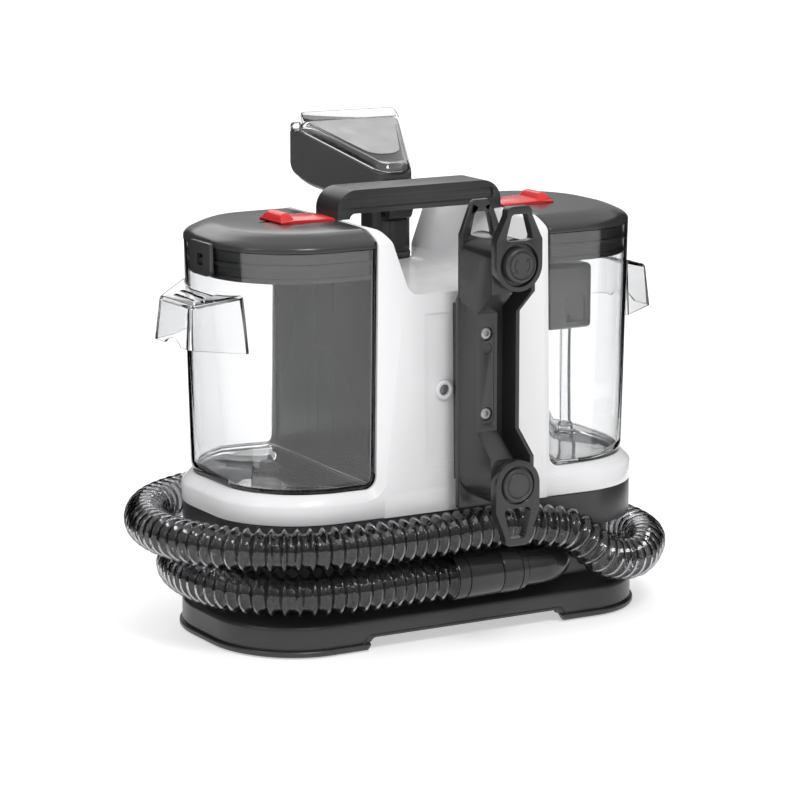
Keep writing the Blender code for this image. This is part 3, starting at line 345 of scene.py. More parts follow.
def rubber(name):
    material, tree, shader = new_material(name)
    shade = add_mix(tree, add_noise(tree, 30.0), (0.018, 0.018, 0.018), (0.035, 0.034, 0.033))
    tree.links.new(shade, shader.inputs["Base Color"])
    shader.inputs["Roughness"].default_value = 0.8
    add_bump(tree, shader, add_noise(tree, 1400.0, 4.0), 0.4, 0.0002)
    return material


def metal(name, colour, roughness):
    material, tree, shader = new_material(name)
    streak = add_noise(tree, 220.0, 6.0, 0.7)
    shade = add_mix(tree, streak, scaled(colour, 0.85), scaled(colour, 1.1))
    tree.links.new(shade, shader.inputs["Base Color"])
    cloud = add_range(tree, streak, 0.3, 0.7, roughness * 0.8, roughness * 1.3)
    tree.links.new(cloud, shader.inputs["Roughness"])
    shader.inputs["Metallic"].default_value = 1.0
    add_bump(tree, shader, streak, 0.1, 0.0001)
    return material


MATERIALS = {
    "body_white": plastic("gloss_white", (0.83, 0.83, 0.84), 0.17, 500, bump=0.03, shift=0.008, edge_highlight=0.0),
    "tank_clear": clear_plastic("clear_tank", (0.975, 0.98, 0.985)),
    "lid_charcoal": plastic("gloss_charcoal", (0.034, 0.034, 0.035), 0.21, bump=0.03, edge_highlight=0.08),
    "handle_charcoal": plastic("satin_charcoal", (0.026, 0.026, 0.027), 0.36, bump=0.14, edge_highlight=0.18),
    "base_black": plastic("satin_black", (0.020, 0.020, 0.0205), 0.33, bump=0.14, edge_highlight=0.2),
    "fitting_black": plastic("fitting_black", (0.016, 0.016, 0.0165), 0.20, bump=0.06, edge_highlight=0.12),
    "tool_charcoal": plastic("tool_charcoal", (0.060, 0.060, 0.062), 0.34, bump=0.08, edge_highlight=0.12),
    "hose_smoke": clear_plastic("hose_vinyl", (0.50, 0.50, 0.51), 0.012, 1.45, 1.0, 0.02),
    "seal_smoke": clear_plastic("smoke_plastic", (0.22, 0.22, 0.224), 0.08, 1.46, 0.6, 0.02),
    "latch_red": plastic("gloss_red", (0.72, 0.028, 0.030), 0.22, grain=700, bump=0.03, shift=0.04, edge_highlight=0.0),
    "foot_rubber": rubber("pad_rubber"),
    "screw_steel": metal("zinc_steel", (0.42, 0.42, 0.43), 0.45),
    "motor_aluminium": metal("cast_aluminium", (0.56, 0.56, 0.57), 0.45),
    "board_green": plastic("solder_mask", (0.02, 0.13, 0.05), 0.35, grain=300, edge_highlight=0.0),
}
FROSTED_WINDOW = clear_plastic("frosted_window", (0.50, 0.50, 0.51), 0.26, 1.49, 0.25)
SEAL_CHARCOAL = plastic("seal_charcoal", (0.060, 0.060, 0.062), 0.40, bump=0.05, edge_highlight=0.08)
# a darker, glossier copy of the handle's charcoal for the bracket and its loops: the darker colour is painted
# shade, the lower roughness is its gloss
BRACKET_GLOSS_SHADED = plastic("bracket_gloss_shaded", (0.018, 0.018, 0.0185), 0.22, bump=0.05, edge_highlight=0.10)
SLOT_OF = {part["node"]: part["material_slot"] for part in frame["record"]["subparts"]}


# ---------------------------------------------------------------- mesh tools


def link_mesh(name, grid):
    """Makes an object from a bmesh whose lengths are in millimetres."""
    bmesh.ops.recalc_face_normals(grid, faces=grid.faces)
    bmesh.ops.scale(grid, vec=(MM, MM, MM), verts=grid.verts)
    mesh = bpy.data.meshes.new(name)
    grid.to_mesh(mesh)
    grid.free()
    obj = bpy.data.objects.new(name, mesh)
    SCENE.collection.objects.link(obj)
    return obj


def settle(obj):
    """Applies the object's modifiers and its place, so that its mesh holds its final shape."""
    bpy.context.view_layer.update()
    evaluated = obj.evaluated_get(bpy.context.evaluated_depsgraph_get())
    mesh = bpy.data.meshes.new_from_object(evaluated)
    mesh.transform(obj.matrix_world)
    fresh = bpy.data.objects.new(obj.name + "_fresh", mesh)
    SCENE.collection.objects.link(fresh)
    name = obj.name
    bpy.data.objects.remove(obj, do_unlink=True)
    fresh.name = name
    mesh.name = name
    return fresh


def boolean(obj, operation, tools):
    for tool in tools:
        modifier = obj.modifiers.new(operation, "BOOLEAN")
        modifier.operation = operation
        modifier.object = tool
        modifier.solver = "EXACT"
    obj = settle(obj)
    for tool in tools:
        bpy.data.objects.remove(tool, do_unlink=True)
    return obj


def cut(obj, *tools):
    return boolean(obj, "DIFFERENCE", tools)


def join(obj, *tools):
    return boolean(obj, "UNION", tools)


def soften(obj, width, segments=2, angle=40):
    """Rounds the sharp edges."""
    modifier = obj.modifiers.new("rounded_edges", "BEVEL")
    modifier.width = width * MM
    modifier.segments = segments
    modifier.limit_method = "ANGLE"
    modifier.angle_limit = math.radians(angle)
    return settle(obj)


def box(name, low, high, edge=0.0, segments=3):
    grid = bmesh.new()
    bmesh.ops.create_cube(grid, size=1.0)
    bmesh.ops.scale(grid, vec=[b - a for a, b in zip(low, high)], verts=grid.verts)
    bmesh.ops.translate(grid, vec=[(a + b) / 2 for a, b in zip(low, high)], verts=grid.verts)
    obj = link_mesh(name, grid)
    return soften(obj, edge, segments) if edge else obj


def cylinder(name, start, end, radius, sides=64, edge=0.0):
    axis = Vector(end) - Vector(start)
    grid = bmesh.new()
    bmesh.ops.create_cone(
        grid,
        cap_ends=True,
        segments=sides,
        radius1=radius,
        radius2=radius,
        depth=axis.length,
    )
    turn = Vector((0, 0, 1)).rotation_difference(axis).to_matrix().to_4x4()
    place = Matrix.Translation((Vector(start) + Vector(end)) / 2)
    bmesh.ops.transform(grid, matrix=place @ turn, verts=grid.verts)
    obj = link_mesh(name, grid)
    return soften(obj, edge, 3, 50) if edge else obj


def turned(name, profile, place, axis=(0, 0, 1), sides=72):
    """Turns a closed profile of (radius, distance along the axis) points about an axis through a place."""
    grid = bmesh.new()
    rows = []
    for radius, along in profile:
        row = []
        if radius < 0.001:
            row = [grid.verts.new((0, 0, along))] * sides
        else:
            for i in range(sides):
                angle = 2 * math.pi * i / sides
                row.append(grid.verts.new((radius * math.cos(angle), radius * math.sin(angle), along)))
        rows.append(row)
    for row, following in zip(rows, rows[1:] + rows[:1]):
        for i in range(sides):
            j = (i + 1) % sides
            corners = []
            for vert in (row[i], row[j], following[j], following[i]):
                if vert not in corners:
                    corners.append(vert)
            if len(corners) > 2:
                grid.faces.new(corners)
    turn = Vector((0, 0, 1)).rotation_difference(Vector(axis)).to_matrix().to_4x4()
    bmesh.ops.transform(grid, matrix=Matrix.Translation(place) @ turn, verts=grid.verts)
    return link_mesh(name, grid)


PLANE_TURNS = {
    "XY": Matrix.Identity(4),
    "XZ": Matrix.Rotation(math.radians(90), 4, "X"),
    "YZ": Matrix(((0, 0, 1, 0), (1, 0, 0, 0), (0, 1, 0, 0), (0, 0, 0, 1))),
}


def slab(name, outline, low, high, plane="XY", holes=(), edge=0.0, segments=3, angle=40):
    """Extrudes a flat outline between two levels along the axis that the plane leaves out."""
    curve = bpy.data.curves.new(name, "CURVE")
    curve.dimensions = "2D"
    curve.fill_mode = "BOTH"
    curve.extrude = (high - low) / 2 * MM
    for points in (outline, *holes):
        spline = curve.splines.new("POLY")
        spline.points.add(len(points) - 1)
        spline.use_cyclic_u = True
        for point, (u, v) in zip(spline.points, points):
            point.co = (u * MM, v * MM, 0, 1)
    drawn = bpy.data.objects.new(name, curve)
    SCENE.collection.objects.link(drawn)
    middle = (low + high) / 2 * MM
    shift = {"XY": (0, 0, middle), "XZ": (0, middle, 0), "YZ": (middle, 0, 0)}[plane]
    drawn.matrix_world = Matrix.Translation(shift) @ PLANE_TURNS[plane]
    obj = settle(drawn)
    grid = bmesh.new()
    grid.from_mesh(obj.data)
    bmesh.ops.remove_doubles(grid, verts=grid.verts, dist=0.000001)
    bmesh.ops.recalc_face_normals(grid, faces=grid.faces)
    grid.to_mesh(obj.data)
    grid.free()
    return soften(obj, edge, segments, angle) if edge else obj


def loft(name, rings, endless=False):
    """Skins rings of equal point counts. An endless loft joins the last ring to the first."""
    grid = bmesh.new()
    rows = [[grid.verts.new(point) for point in ring] for ring in rings]
    count = len(rows[0])
    following = rows[1:] + rows[:1] if endless else rows[1:]
    for row, upper in zip(rows, following):
        for i in range(count):
            j = (i + 1) % count
            grid.faces.new((row[i], row[j], upper[j], upper[i]))
    if not endless:
        grid.faces.new(rows[0])
        grid.faces.new(rows[-1])
    return link_mesh(name, grid)


def sweep(name, path, profile, sides=32, caps=True):
    """Carries a circle along a path without twist. Profile gives the radius at each path point."""
    grid = bmesh.new()
    path = [Vector(point) for point in path]
    tangents = []
    for i in range(len(path)):
        tangents.append((path[min(i + 1, len(path) - 1)] - path[max(i - 1, 0)]).normalized())
    across = tangents[0].orthogonal().normalized()
    rows = []
    for point, tangent, radius in zip(path, tangents, profile):
        across = (across - tangent * across.dot(tangent)).normalized()
        up = tangent.cross(across)
        row = []
        for i in range(sides):
            angle = 2 * math.pi * i / sides
            row.append(grid.verts.new(point + (across * math.cos(angle) + up * math.sin(angle)) * radius))
        rows.append(row)
    for row, upper in zip(rows, rows[1:]):
        for i in range(sides):
            j = (i + 1) % sides
            grid.faces.new((row[i], row[j], upper[j], upper[i]))
    if caps:
        grid.faces.new(rows[0])
        grid.faces.new(rows[-1])
    return link_mesh(name, grid)


def finish(obj, body, *nodes, slot=None, angle=32, material=None):
    """Shades a piece, gives it its material, makes it ride on its body and stand for its CAD nodes."""
    obj.data.shade_smooth()
    obj.data.set_sharp_from_angle(angle=math.radians(angle))
    slot = slot or SLOT_OF[nodes[0]]
    obj.data.materials.clear()
    obj.data.materials.append(material or MATERIALS[slot])
    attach(obj, body)
    if nodes:
        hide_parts(*nodes)


# ---------------------------------------------------------------- outlines


def arc(centre, radii, start, end, steps=ARC_STEPS):
    """Points on part of an ellipse, angles in degrees."""
    points = []
    for i in range(steps + 1):
        angle = math.radians(start + (end - start) * i / steps)
        points.append((centre[0] + radii[0] * math.cos(angle), centre[1] + radii[1] * math.sin(angle)))
    return points


def full_plan(plan, inset=0.0):
    """The rounded rectangle of a plan, moved inwards by an inset."""
    half_x, half_y, round_x, round_y = (value - inset for value in plan)
    outline = []
    for quarter, (side_x, side_y) in enumerate(((1, 1), (-1, 1), (-1, -1), (1, -1))):
        centre = (side_x * (half_x - round_x), side_y * (half_y - round_y))
        outline += arc(centre, (round_x, round_y), 90 * quarter, 90 * quarter + 90)
    return outline


def end_plan(side, plan, inset=0.0, inner=TANK_SIDE, corner=4.0):
    """The D-shaped plan of a tank: flat at the core, round at the outer end. Side is 1 or -1."""
    half_x, half_y, round_x, round_y = (value - inset for value in plan)
    centre_x = half_x - round_x
    centre_y = half_y - round_y
    small = (corner, corner)
    outline = arc((inner + corner, -half_y + corner), small, 180, 270, 6)
    outline += arc((centre_x, -centre_y), (round_x, round_y), -90, 0)
    outline += arc((centre_x, centre_y), (round_x, round_y), 0, 90)
    outline += arc((inner + corner, half_y - corner), small, 90, 180, 6)
    return [(side * x, y) for x, y in outline]


def at_height(outline, z):
    return [(x, y, z) for x, y in outline]


def full_ring(plan, z, inset=0.0):
    return at_height(full_plan(plan, inset), z)


def end_ring(side, plan, z, inset=0.0, inner=TANK_SIDE, corner=4.0):
    return at_height(end_plan(side, plan, inset, inner, corner), z)


def ordered(side, near, far):
    """The low and the high of two distances from the middle, on one side of it. Side is 1 or -1."""
    return sorted((side * near, side * far))


def rounded(points, radii, steps=6):
    """A polygon with its corners replaced by arcs, of one radius or of a radius for each corner."""
    outline = []
    count = len(points)
    if not isinstance(radii, list):
        radii = [radii] * count
    for i, radius in enumerate(radii):
        corner = Vector(points[i])
        before = (Vector(points[i - 1]) - corner).normalized()
        after = (Vector(points[(i + 1) % count]) - corner).normalized()
        half = math.acos(max(-1.0, min(1.0, before.dot(after)))) / 2
        reach = radius / math.tan(half)
        centre = corner + (before + after).normalized() * radius / math.sin(half)
        start = corner + before * reach - centre
        end = corner + after * reach - centre
        sweep_angle = start.angle_signed(end)
        for step in range(steps + 1):
            turn = Matrix.Rotation(-sweep_angle * step / steps, 2)
            outline.append(tuple(centre + turn @ start))
    return outline


def blend_plans(first, second, share):
    return tuple(a + (b - a) * share for a, b in zip(first, second))


def tank_plan(z):
    return blend_plans(TANK_FOOT_PLAN, TANK_TOP_PLAN, (z - DECK) / (LID_SEAM - DECK))


def taper(z):
    """How much further from the middle the tanks' inner walls stand than at the lid seam."""
    return TANK_TAPER * max(0.0, LID_SEAM - z) / (LID_SEAM - DECK)


def core_front(z):
    """How far the core's front and back stand from the middle."""
    share = max(0.0, min(1.0, (z - RING_SHOULDER) / (LID_SEAM - RING_SHOULDER)))
    return RING_PLAN[1] + (CORE_TOP_FRONT - RING_PLAN[1]) * share


def centripetal_point(before, first, second, after, share):
    """A point between two knots of a centripetal Catmull-Rom curve."""
    time_in, time_on, time_out = (
        math.sqrt((b - a).length) for a, b in ((before, first), (first, second), (second, after))
    )
    chord = second - first
    leave = chord + time_on * ((first - before) / time_in - (second - before) / (time_in + time_on))
    arrive = chord + time_on * ((after - second) / time_out - (after - first) / (time_on + time_out))
    square = share * share
    cube = square * share
    blend = first * (2 * cube - 3 * square + 1) + second * (3 * square - 2 * cube)
    return blend + leave * (cube - 2 * square + share) + arrive * (cube - square)


def smooth_route(knots, spacing, steps=48):
    """Evenly spaced points on one smooth curve through the knots."""
    knots = [Vector(knot) for knot in knots]
    knots = [2 * knots[0] - knots[1], *knots, 2 * knots[-1] - knots[-2]]
    dense = []
    for four in zip(knots, knots[1:], knots[2:], knots[3:]):
        dense += [centripetal_point(*four, step / steps) for step in range(steps)]
    dense.append(knots[-2])
    lengths = [0.0]
    for first, second in zip(dense, dense[1:]):
        lengths.append(lengths[-1] + (second - first).length)
    count = max(2, round(lengths[-1] / spacing) + 1)
    route = []
    place = 0
    for i in range(count):
        target = lengths[-1] * i / (count - 1)
        while place < len(dense) - 2 and lengths[place + 1] < target:
            place += 1
        share = (target - lengths[place]) / (lengths[place + 1] - lengths[place])
        route.append(dense[place].lerp(dense[place + 1], share))
    return route


# ---------------------------------------------------------------- hose and its fittings

HOSE_RISE = [(TOOL_X, TOOL_Y, 256), (TOOL_X, 99, 232), (TOOL_X, 107, 208), (TOOL_X, 114, 182)]


def hose_knots():
    """Corners of the hose's two turns, from its cuff at the front to the collar of the tool."""
    y_low, z_low = HOSE_LOW
    y_high, z_high = HOSE_HIGH
    return [
        (CUFF_END - GAP, y_low, z_low),
        (-60, y_low, z_low),
        (-112, y_low, z_low),
        (-152, -87, z_low),
        (-180, -60, z_low),
        (-193, -20, z_low),
        (-193, 22, z_low),
        (-180, 60, z_low),
        (-152, 87, z_low),
        (-110, 98, z_low),
        (-40, 98.5, z_low),
        (40, 98.5, z_low),
        (112, 98, z_low + 1),
        (154, 87, z_low + 2),
        (182, 60, z_low + 2),
        (195, 22, z_low + 1),
        (203, -16, z_low - 1),
        (198, -46, z_low - 2),
        (183, -71, z_low - 2),
        (157, -95, z_low - 5),
        (131, -106, z_low - 1),
        (113, -112, z_low + 7),
        (100, y_high - 2, z_high - 21),
        (84, y_high - 2, z_high - 9),
        (60, y_high - 2, z_high - 3),
        (30, y_high, z_high + 1),
        (-40, y_high, z_high),
        (-104, y_high, z_high),
        (-150, -103, z_high),
        (-188, -79, z_high),
        (-212, -40, z_high),
        (-221, 4, z_high),
        (-213, 50, z_high),
        (-190, 88, z_high + 1),
        (-152, 112, z_high + 2),
        (-104, 121, z_high + 4),
        (-58, 121, z_high + 8),
        (-20, 120, z_high + 22),
        (8, 119, z_high + 44),
        (24, 118, z_high + 68),
        *reversed(HOSE_RISE),
        (TOOL_X, TOOL_Y, COLLAR_FOOT - GAP),
    ]


def rib_radius(along):
    """Outer radius of the corrugated hose: sharp ribs with round valleys between them."""
    return HOSE_RADIUS - RIB_DEPTH * abs(math.sin(math.pi * along / RIB_PITCH)) ** 1.1


def make_hose():
    """A hollow corrugated tube: out along its outer skin and back along its inner skin."""
    steps_per_rib = 10
    route = smooth_route(hose_knots(), RIB_PITCH / steps_per_rib)
    spacing = sum((b - a).length for a, b in zip(route, route[1:])) / (len(route) - 1)
    outer = [rib_radius(i * spacing) for i in range(len(route))]
    wall = 1.2
    sides = 36
    skins = [sweep(f"hose_skin_{i}", route, radii, sides, caps=False)
             for i, radii in enumerate((outer, [radius - wall for radius in outer]))]
    grid = bmesh.new()
    grid.from_mesh(skins[0].data)
    bmesh.ops.reverse_faces(grid, faces=grid.faces)
    grid.from_mesh(skins[1].data)
    rims = [edge for edge in grid.edges if edge.is_boundary]
    bmesh.ops.bridge_loops(grid, edges=[edge for edge in rims if near_start(edge, route)])
    bmesh.ops.bridge_loops(grid, edges=[edge for edge in rims if not near_start(edge, route)])
    bmesh.ops.recalc_face_normals(grid, faces=grid.faces)
    hose = skins[0]
    grid.to_mesh(hose.data)
    grid.free()
    bpy.data.objects.remove(skins[1], do_unlink=True)
    hose.name = "hose_ribbed"
    hose.data.shade_smooth()
    hose.data.materials.append(MATERIALS["hose_smoke"])
    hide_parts("hose")
    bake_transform(hose)
    return hose, route


def near_start(edge, route):
    middle = (edge.verts[0].co + edge.verts[1].co) / 2
    return (middle - route[0] * MM).length < (middle - route[-1] * MM).length


def make_hose_fittings():
    """Cuff, swivel ring and elbow: turned along the machine's length, with their seam grooves."""
    y, z = HOSE_LOW
    place = (0, y, z)
    start, end = CUFF_END, CUFF_TOP
    outer = 18.3
    profile = [(0, start), (16.6, start), (17.9, start + 0.5), (outer, start + 1.6), (outer, start + 9.4)]
    profile += [(17.5, start + 9.7), (17.5, start + 10.5), (outer, start + 10.8), (outer, end - 1.4)]
    profile += [(17.9, end - 0.4), (17.2, end), (0, end)]
    cuff = turned("hose_cuff_turned", profile, place, (1, 0, 0))
    finish(cuff, "machine", "hose_cuff")
    start, end = low_of("swivel_ring")[0], high_of("swivel_ring")[0]
    outer = 18.1
    profile = [(0, start), (17.0, start), (17.8, start + 0.5), (outer, start + 1.4), (outer, end - 7.0)]
    profile += [(17.4, end - 6.7), (17.4, end - 6.0), (outer, end - 5.7), (17.6, end - 1.2)]
    profile += [(16.8, end - 0.3), (16.2, end), (0, end)]
    ring = turned("swivel_ring_turned", profile, place, (1, 0, 0))
    finish(ring, "swivel_ring", "swivel_ring")
    start = low_of("hose_elbow")[0]
    bend = [(start, y), (start + 1, y), (60, y)] + arc((ELBOW_AXIS - 25, y + 25), (25, 25), -90, 0, 16)
    bend += [(ELBOW_AXIS, -68), (ELBOW_AXIS, -62)]
    route = [(x, v, z) for x, v in bend]
    radii = [14.2, 15.0] + [15.0] * (len(route) - 2)
    elbow = sweep("hose_elbow_bent", route, radii, 64)
    finish(elbow, "machine", "hose_elbow")
    return cuff


# ---------------------------------------------------------------- base and waist


def foot_places():
    return [(x, y) for x in (-157, 157) for y in (-46, 46)]


def make_base_tray():
    """The tray: a bead with a groove above it, an upright band, and a ledge that slopes in to the waist."""
    foot, edge, ledge = TRAY_FOOT, TRAY_EDGE, TRAY_LEDGE
    profile = [(2.4, foot), (0.8, foot + 0.4), (0.0, foot + 1.6), (0.0, 4.9), (0.5, 5.7), (1.5, 6.1)]
    profile += [(3.1, 6.3), (3.1, 7.2), (2.4, 7.6), (2.4, edge - 3.0), (2.7, edge - 1.4)]
    profile += [(3.5, edge - 0.3), (4.8, edge + 0.6), (12.4, ledge - 1.0), (14.4, ledge), (27.2, ledge)]
    profile += [(28.2, ledge - 0.8), (28.5, 14.0)]
    tray = loft("base_tray_shell", [full_ring(BASE_PLAN, z, inset) for inset, z in profile])
    tunnel = rounded([(-105.7, -20), (-85.2, 10.4), (85.2, 10.4), (105.7, -20)], 5.0)
    tools = [slab("tray_tunnel", tunnel, -120, 120, "XZ")]
    for side in (-1, 1):
        tools.append(box(f"tray_pocket_{side}", (side * 118 - 20, -66, -2), (side * 118 + 20, 66, 10.5)))
    room = BASE_PLAN[1] - 5.5
    tools.append(box("tray_room", (-99, -room, -2), (99, room, 10.6)))
    for index, (x, y) in enumerate(foot_places()):
        tools.append(cylinder(f"foot_hole_{index}", (x, y, -2), (x, y, 4.3), 9.4))
    tray = cut(tray, *tools)
    finish(tray, "machine", "base_tray", angle=30)


def make_tunnel_rims():
    """The raised lip that runs round each mouth of the tunnel."""
    face = BASE_PLAN[1] - 2.4
    bend = (5.6, 5.6)
    path = [(-95.5, 4.6), *arc((-86.4, 6.5), bend, 145, 90, 8)]
    path += [*arc((86.4, 6.5), bend, 90, 35, 8), (95.5, 4.6)]
    rims = []
    for side in (-1, 1):
        points = [(x, side * (face - 0.1), z) for x, z in path]
        rims.append(sweep(f"tunnel_rim_{side}", points, [0.9] * len(points), 16))
    for rim in rims:
        finish(rim, "machine", slot="base_black")


def make_waist():
    band = tuple(value - 0.6 for value in RING_PLAN)
    foot, top = TRAY_LEDGE + GAP, RING_FOOT - GAP
    rings = [full_ring(WAIST_PLAN, foot), full_ring(WAIST_PLAN, BAND_FOOT - 7)]
    for step in range(1, 7):
        angle = math.radians(15 * step)
        share = 1 - math.cos(angle)
        plan = blend_plans(WAIST_PLAN, tuple(value - 1.5 for value in band), share)
        rings.append(full_ring(plan, BAND_FOOT - 7 + 7 * math.sin(angle)))
    rings += [full_ring(plan, z, inset) for plan, z, inset in (
        (band, BAND_FOOT + 0.5, 0.5), (band, BAND_FOOT + 1.5, 0), (band, top - 0.5, 0), (band, top, 0.6),
        (band, top, 5), (band, BAND_FOOT + 3, 5), (WAIST_PLAN, BAND_FOOT - 1, 3), (WAIST_PLAN, foot, 3),
    )]
    waist = loft("waist_band", rings, endless=True)
    tools = [cylinder("elbow_hole", (ELBOW_AXIS, -90, HOSE_LOW[1]), (ELBOW_AXIS, -60, HOSE_LOW[1]), 15.5)]
    for index in range(7):
        x = -45 + 15 * index
        tools.append(box(f"exhaust_slot_{index}", (x - 3, 60, 42), (x + 3, 90, 66), 2.4))
    finish(cut(waist, *tools), "machine", "waist_shell")


# ---------------------------------------------------------------- white body


def valley_outline():
    """The U-shaped end view of the core, wider than the core, which core_envelope trims."""
    side = CORE_HALF + 9
    points = [(-side, RING_FOOT), (side, RING_FOOT), (side, TOWER_TOP)]
    points += arc((VALLEY_TOP_HALF + 5.2, TOWER_TOP - 5.0), (5, 5), 90, 161, 10)
    points += arc((VALLEY_FLOOR_HALF - 8, FLOOR_OF_VALLEY + 12), (12, 12), -19, -90, 12)
    mirrored = [(-x, z) for x, z in reversed(points[2:])]
    return points + mirrored


def core_section(z, inset):
    """The core's plan at a height: a rectangle whose corners are cut back to the tanks' faces."""
    front = core_front(z) + 0.15 - inset
    side = CORE_HALF + taper(z)
    glass = tank_plan(min(z, LID_SEAM))[1] + 0.3 - inset
    quarter = [(side, glass), (side - CORE_CHAMFER, front)]
    outline = quarter + [(-x, y) for x, y in reversed(quarter)]
    return outline + [(-x, -y) for x, y in outline]


def dome_steps():
    """The profile that lids and towers share, as (distance in from the side, height above the seam)."""
    knots = ((0.0, 2.5), (0.35, 3.5), (1.2, 4.6), (3.4, 6.4), (9.4, 9.3), (14.0, 11.2), (19.0, 12.8))
    curve = smooth_route([(inset, rise, 0) for inset, rise in knots], 0.9)
    return [(0.0, 0.0)] + [(point.x, point.y) for point in curve]


def core_envelope(name):
    """The core's outer form, with its top front and back edges domed like the lids."""
    levels = [(RING_FOOT - 1, 0.0), (RING_SHOULDER, 0.0)]
    levels += [(LID_SEAM + rise, inset) for inset, rise in dome_steps()]
    levels.append((TOWER_TOP + 0.2, 20.0))
    return loft(name, [at_height(core_section(z, inset), z) for z, inset in levels])


def corner_fillet(name, side, front):
    """Carries the chamfer round the lower corner of core and ring. Side and front are 1 or -1."""
    middle = (side * (CORE_HALF + TANK_TAPER + TANK_CORNER), DECK + TANK_CORNER)
    sweep_angles = (180, 270) if side > 0 else (360, 270)
    outer = RING_PLAN[1] + 0.05
    glass = TANK_FOOT_PLAN[1] + 0.15
    inner = TANK_CORNER + 0.15
    rings = []
    for y, radius in ((70, inner), (glass, inner), (outer, TANK_CORNER + 7.6)):
        curve = arc(middle, (radius, radius), *sweep_angles, 16)
        corner = [(middle[0] + side * 1.2, 118.5), (side * 70, 118.5), (side * 70, middle[1] + 1.2)]
        rings.append([(x, front * y, z) for x, z in curve + corner])
    return loft(name, rings)


def notch_tube(name, radius):
    """The groove that the hose's rise lies in, open at the valley and closed behind the waist."""
    route = [(TOOL_X, TOOL_Y, 300), (TOOL_X, TOOL_Y, 266), *HOSE_RISE, (TOOL_X, 116, 120)]
    return sweep(name, route, [radius] * len(route), 48)


def face_panel(name, low, high, depth):
    """A cutter that sinks a shallow rectangle into the leaning front face."""
    outline = rounded([low, (high[0], low[1]), high, (low[0], high[1])], 2.0)
    inner = [(x, -core_front(z) + depth - 0.15, z) for x, z in outline]
    outer = [(x, -110, z) for x, z in outline]
    return loft(name, [inner, outer])


def make_body():
    """The white body is shaped whole and then parted into its front and rear halves."""
    foot, shoulder = RING_FOOT, RING_SHOULDER
    rings = [full_ring(RING_PLAN, z, inset) for inset, z in (
        (1.4, foot), (0.45, foot + 0.35), (0.0, foot + 1.3), (0.0, shoulder - 1.6),
        (0.15, shoulder - 0.6), (0.6, shoulder + 0.5),
    )]
    slope = ((0.3, DECK - 5.2), (0.9, DECK - 1.0), (1.06, DECK - 0.3), (1.18, DECK))
    rings += [full_ring(blend_plans(RING_PLAN, TANK_FOOT_PLAN, share), z) for share, z in slope]
    body = loft("body", rings)
    core = slab("body_core", valley_outline(), -100, 100, "XZ")
    core = boolean(core, "INTERSECT", [core_envelope("core_envelope")])
    fillets = [corner_fillet(f"fillet_{side}_{front}", side, front) for side in (-1, 1) for front in (-1, 1)]
    body = join(body, core, *fillets)
    under_deck = loft("under_deck", [full_ring(RING_PLAN, z, inset) for inset, z in (
        (3, foot - 1), (3, shoulder - 2), (10, DECK - 4.5),
    )])
    inside = box("core_inside", (-70, -CORE_INSIDE, foot - 2), (70, CORE_INSIDE, 274))
    inside = cut(inside, notch_tube("groove_wall", 25.8))
    tools = [under_deck, inside, notch_tube("groove", 22.6)]
    for side, name in ((-1, "left"), (1, "right")):
        low, high = ordered(side, PANEL_BACK, CORE_HALF + 9)
        tools.append(box(f"panel_room_{side}", (low, -84, DECK + TANK_CORNER), (high, 84, 322)))
        seat = end_plan(side, TANK_FOOT_PLAN, 2.0, PANEL_BACK, 3.0)
        tools.append(slab(f"deck_seat_{side}", seat, DECK - 2.2, DECK + TANK_CORNER + 2))
        x, radius = PORTS[name]
        tools.append(cylinder(f"port_{side}", (x, 0, DECK - 12), (x, 0, DECK + 4), radius))
    x, z = BODY_SCREW
    tools.append(cylinder("screw_hole", (x, -100, z), (x, -core_front(z) + 2.6, z), 4.2))
    tools.append(face_panel("front_panel", (-37, 143), (37, 263), 0.9))
    x, z = SWITCH
    tools.append(box("switch_hole", (x - 12, 80, z - 12), (x + 12, 100, z + 12)))
    x, z = INLET
    tools.append(cylinder("inlet_hole", (x, 80, z), (x, 100, z), 9.4))
    body = cut(body, *tools)
    for half, node in ((-1, "body_front"), (1, "body_rear")):
        shell = bpy.data.objects.new(f"{node}_shell", body.data.copy())
        SCENE.collection.objects.link(shell)
        low, high = sorted((half * 0.15, half * 140))
        shell = boolean(shell, "INTERSECT", [box(f"half_{half}", (-250, low, 60), (250, high, 400))])
        finish(shell, "machine", node, angle=28)
    bpy.data.objects.remove(body, do_unlink=True)


def make_end_panels():
    """Dark linings under and behind the tanks: a deck plate and an upright wall with three grooves, with a
    black strip in each groove as painted shade.
    """
    for side, name in ((-1, "left"), (1, "right")):
        deck = end_plan(side, TANK_FOOT_PLAN, 2.3, PANEL_BACK + 0.3, 3.0)
        panel = slab(f"end_lining_{name}", deck, DECK - 1.9, DECK - 0.1)
        low, high = ordered(side, PANEL_BACK + 0.4, CORE_HALF - 0.2)
        panel = join(panel, box(f"{name}_wall", (low, -83.6, DECK - 1), (high, 83.6, 321.6)))
        tools = []
        face = side * CORE_HALF
        near, far = sorted((face - side * 1.05, face - side * 0.45))
        for y in (-15.5, 9.5, 24.5):
            tools.append(
                box(f"{name}_groove_{int(y)}", (face - 1.1, y - 1.2, DECK + 4), (face + 1.1, y + 1.2, 330))
            )
            # a black strip sunk in each groove: painted shade that darkens the groove
            strip = box(f"{name}_groove_strip_{int(y)}", (near, y - 1.0, DECK + 5), (far, y + 1.0, 315))
            finish(strip, "machine", slot="fitting_black")
        x, radius = PORTS[name]
        tools.append(cylinder(f"{name}_deck_port", (x, 0, DECK - 5), (x, 0, DECK + 3), radius))
        finish(cut(panel, *tools), "machine", f"end_panel_{name}")


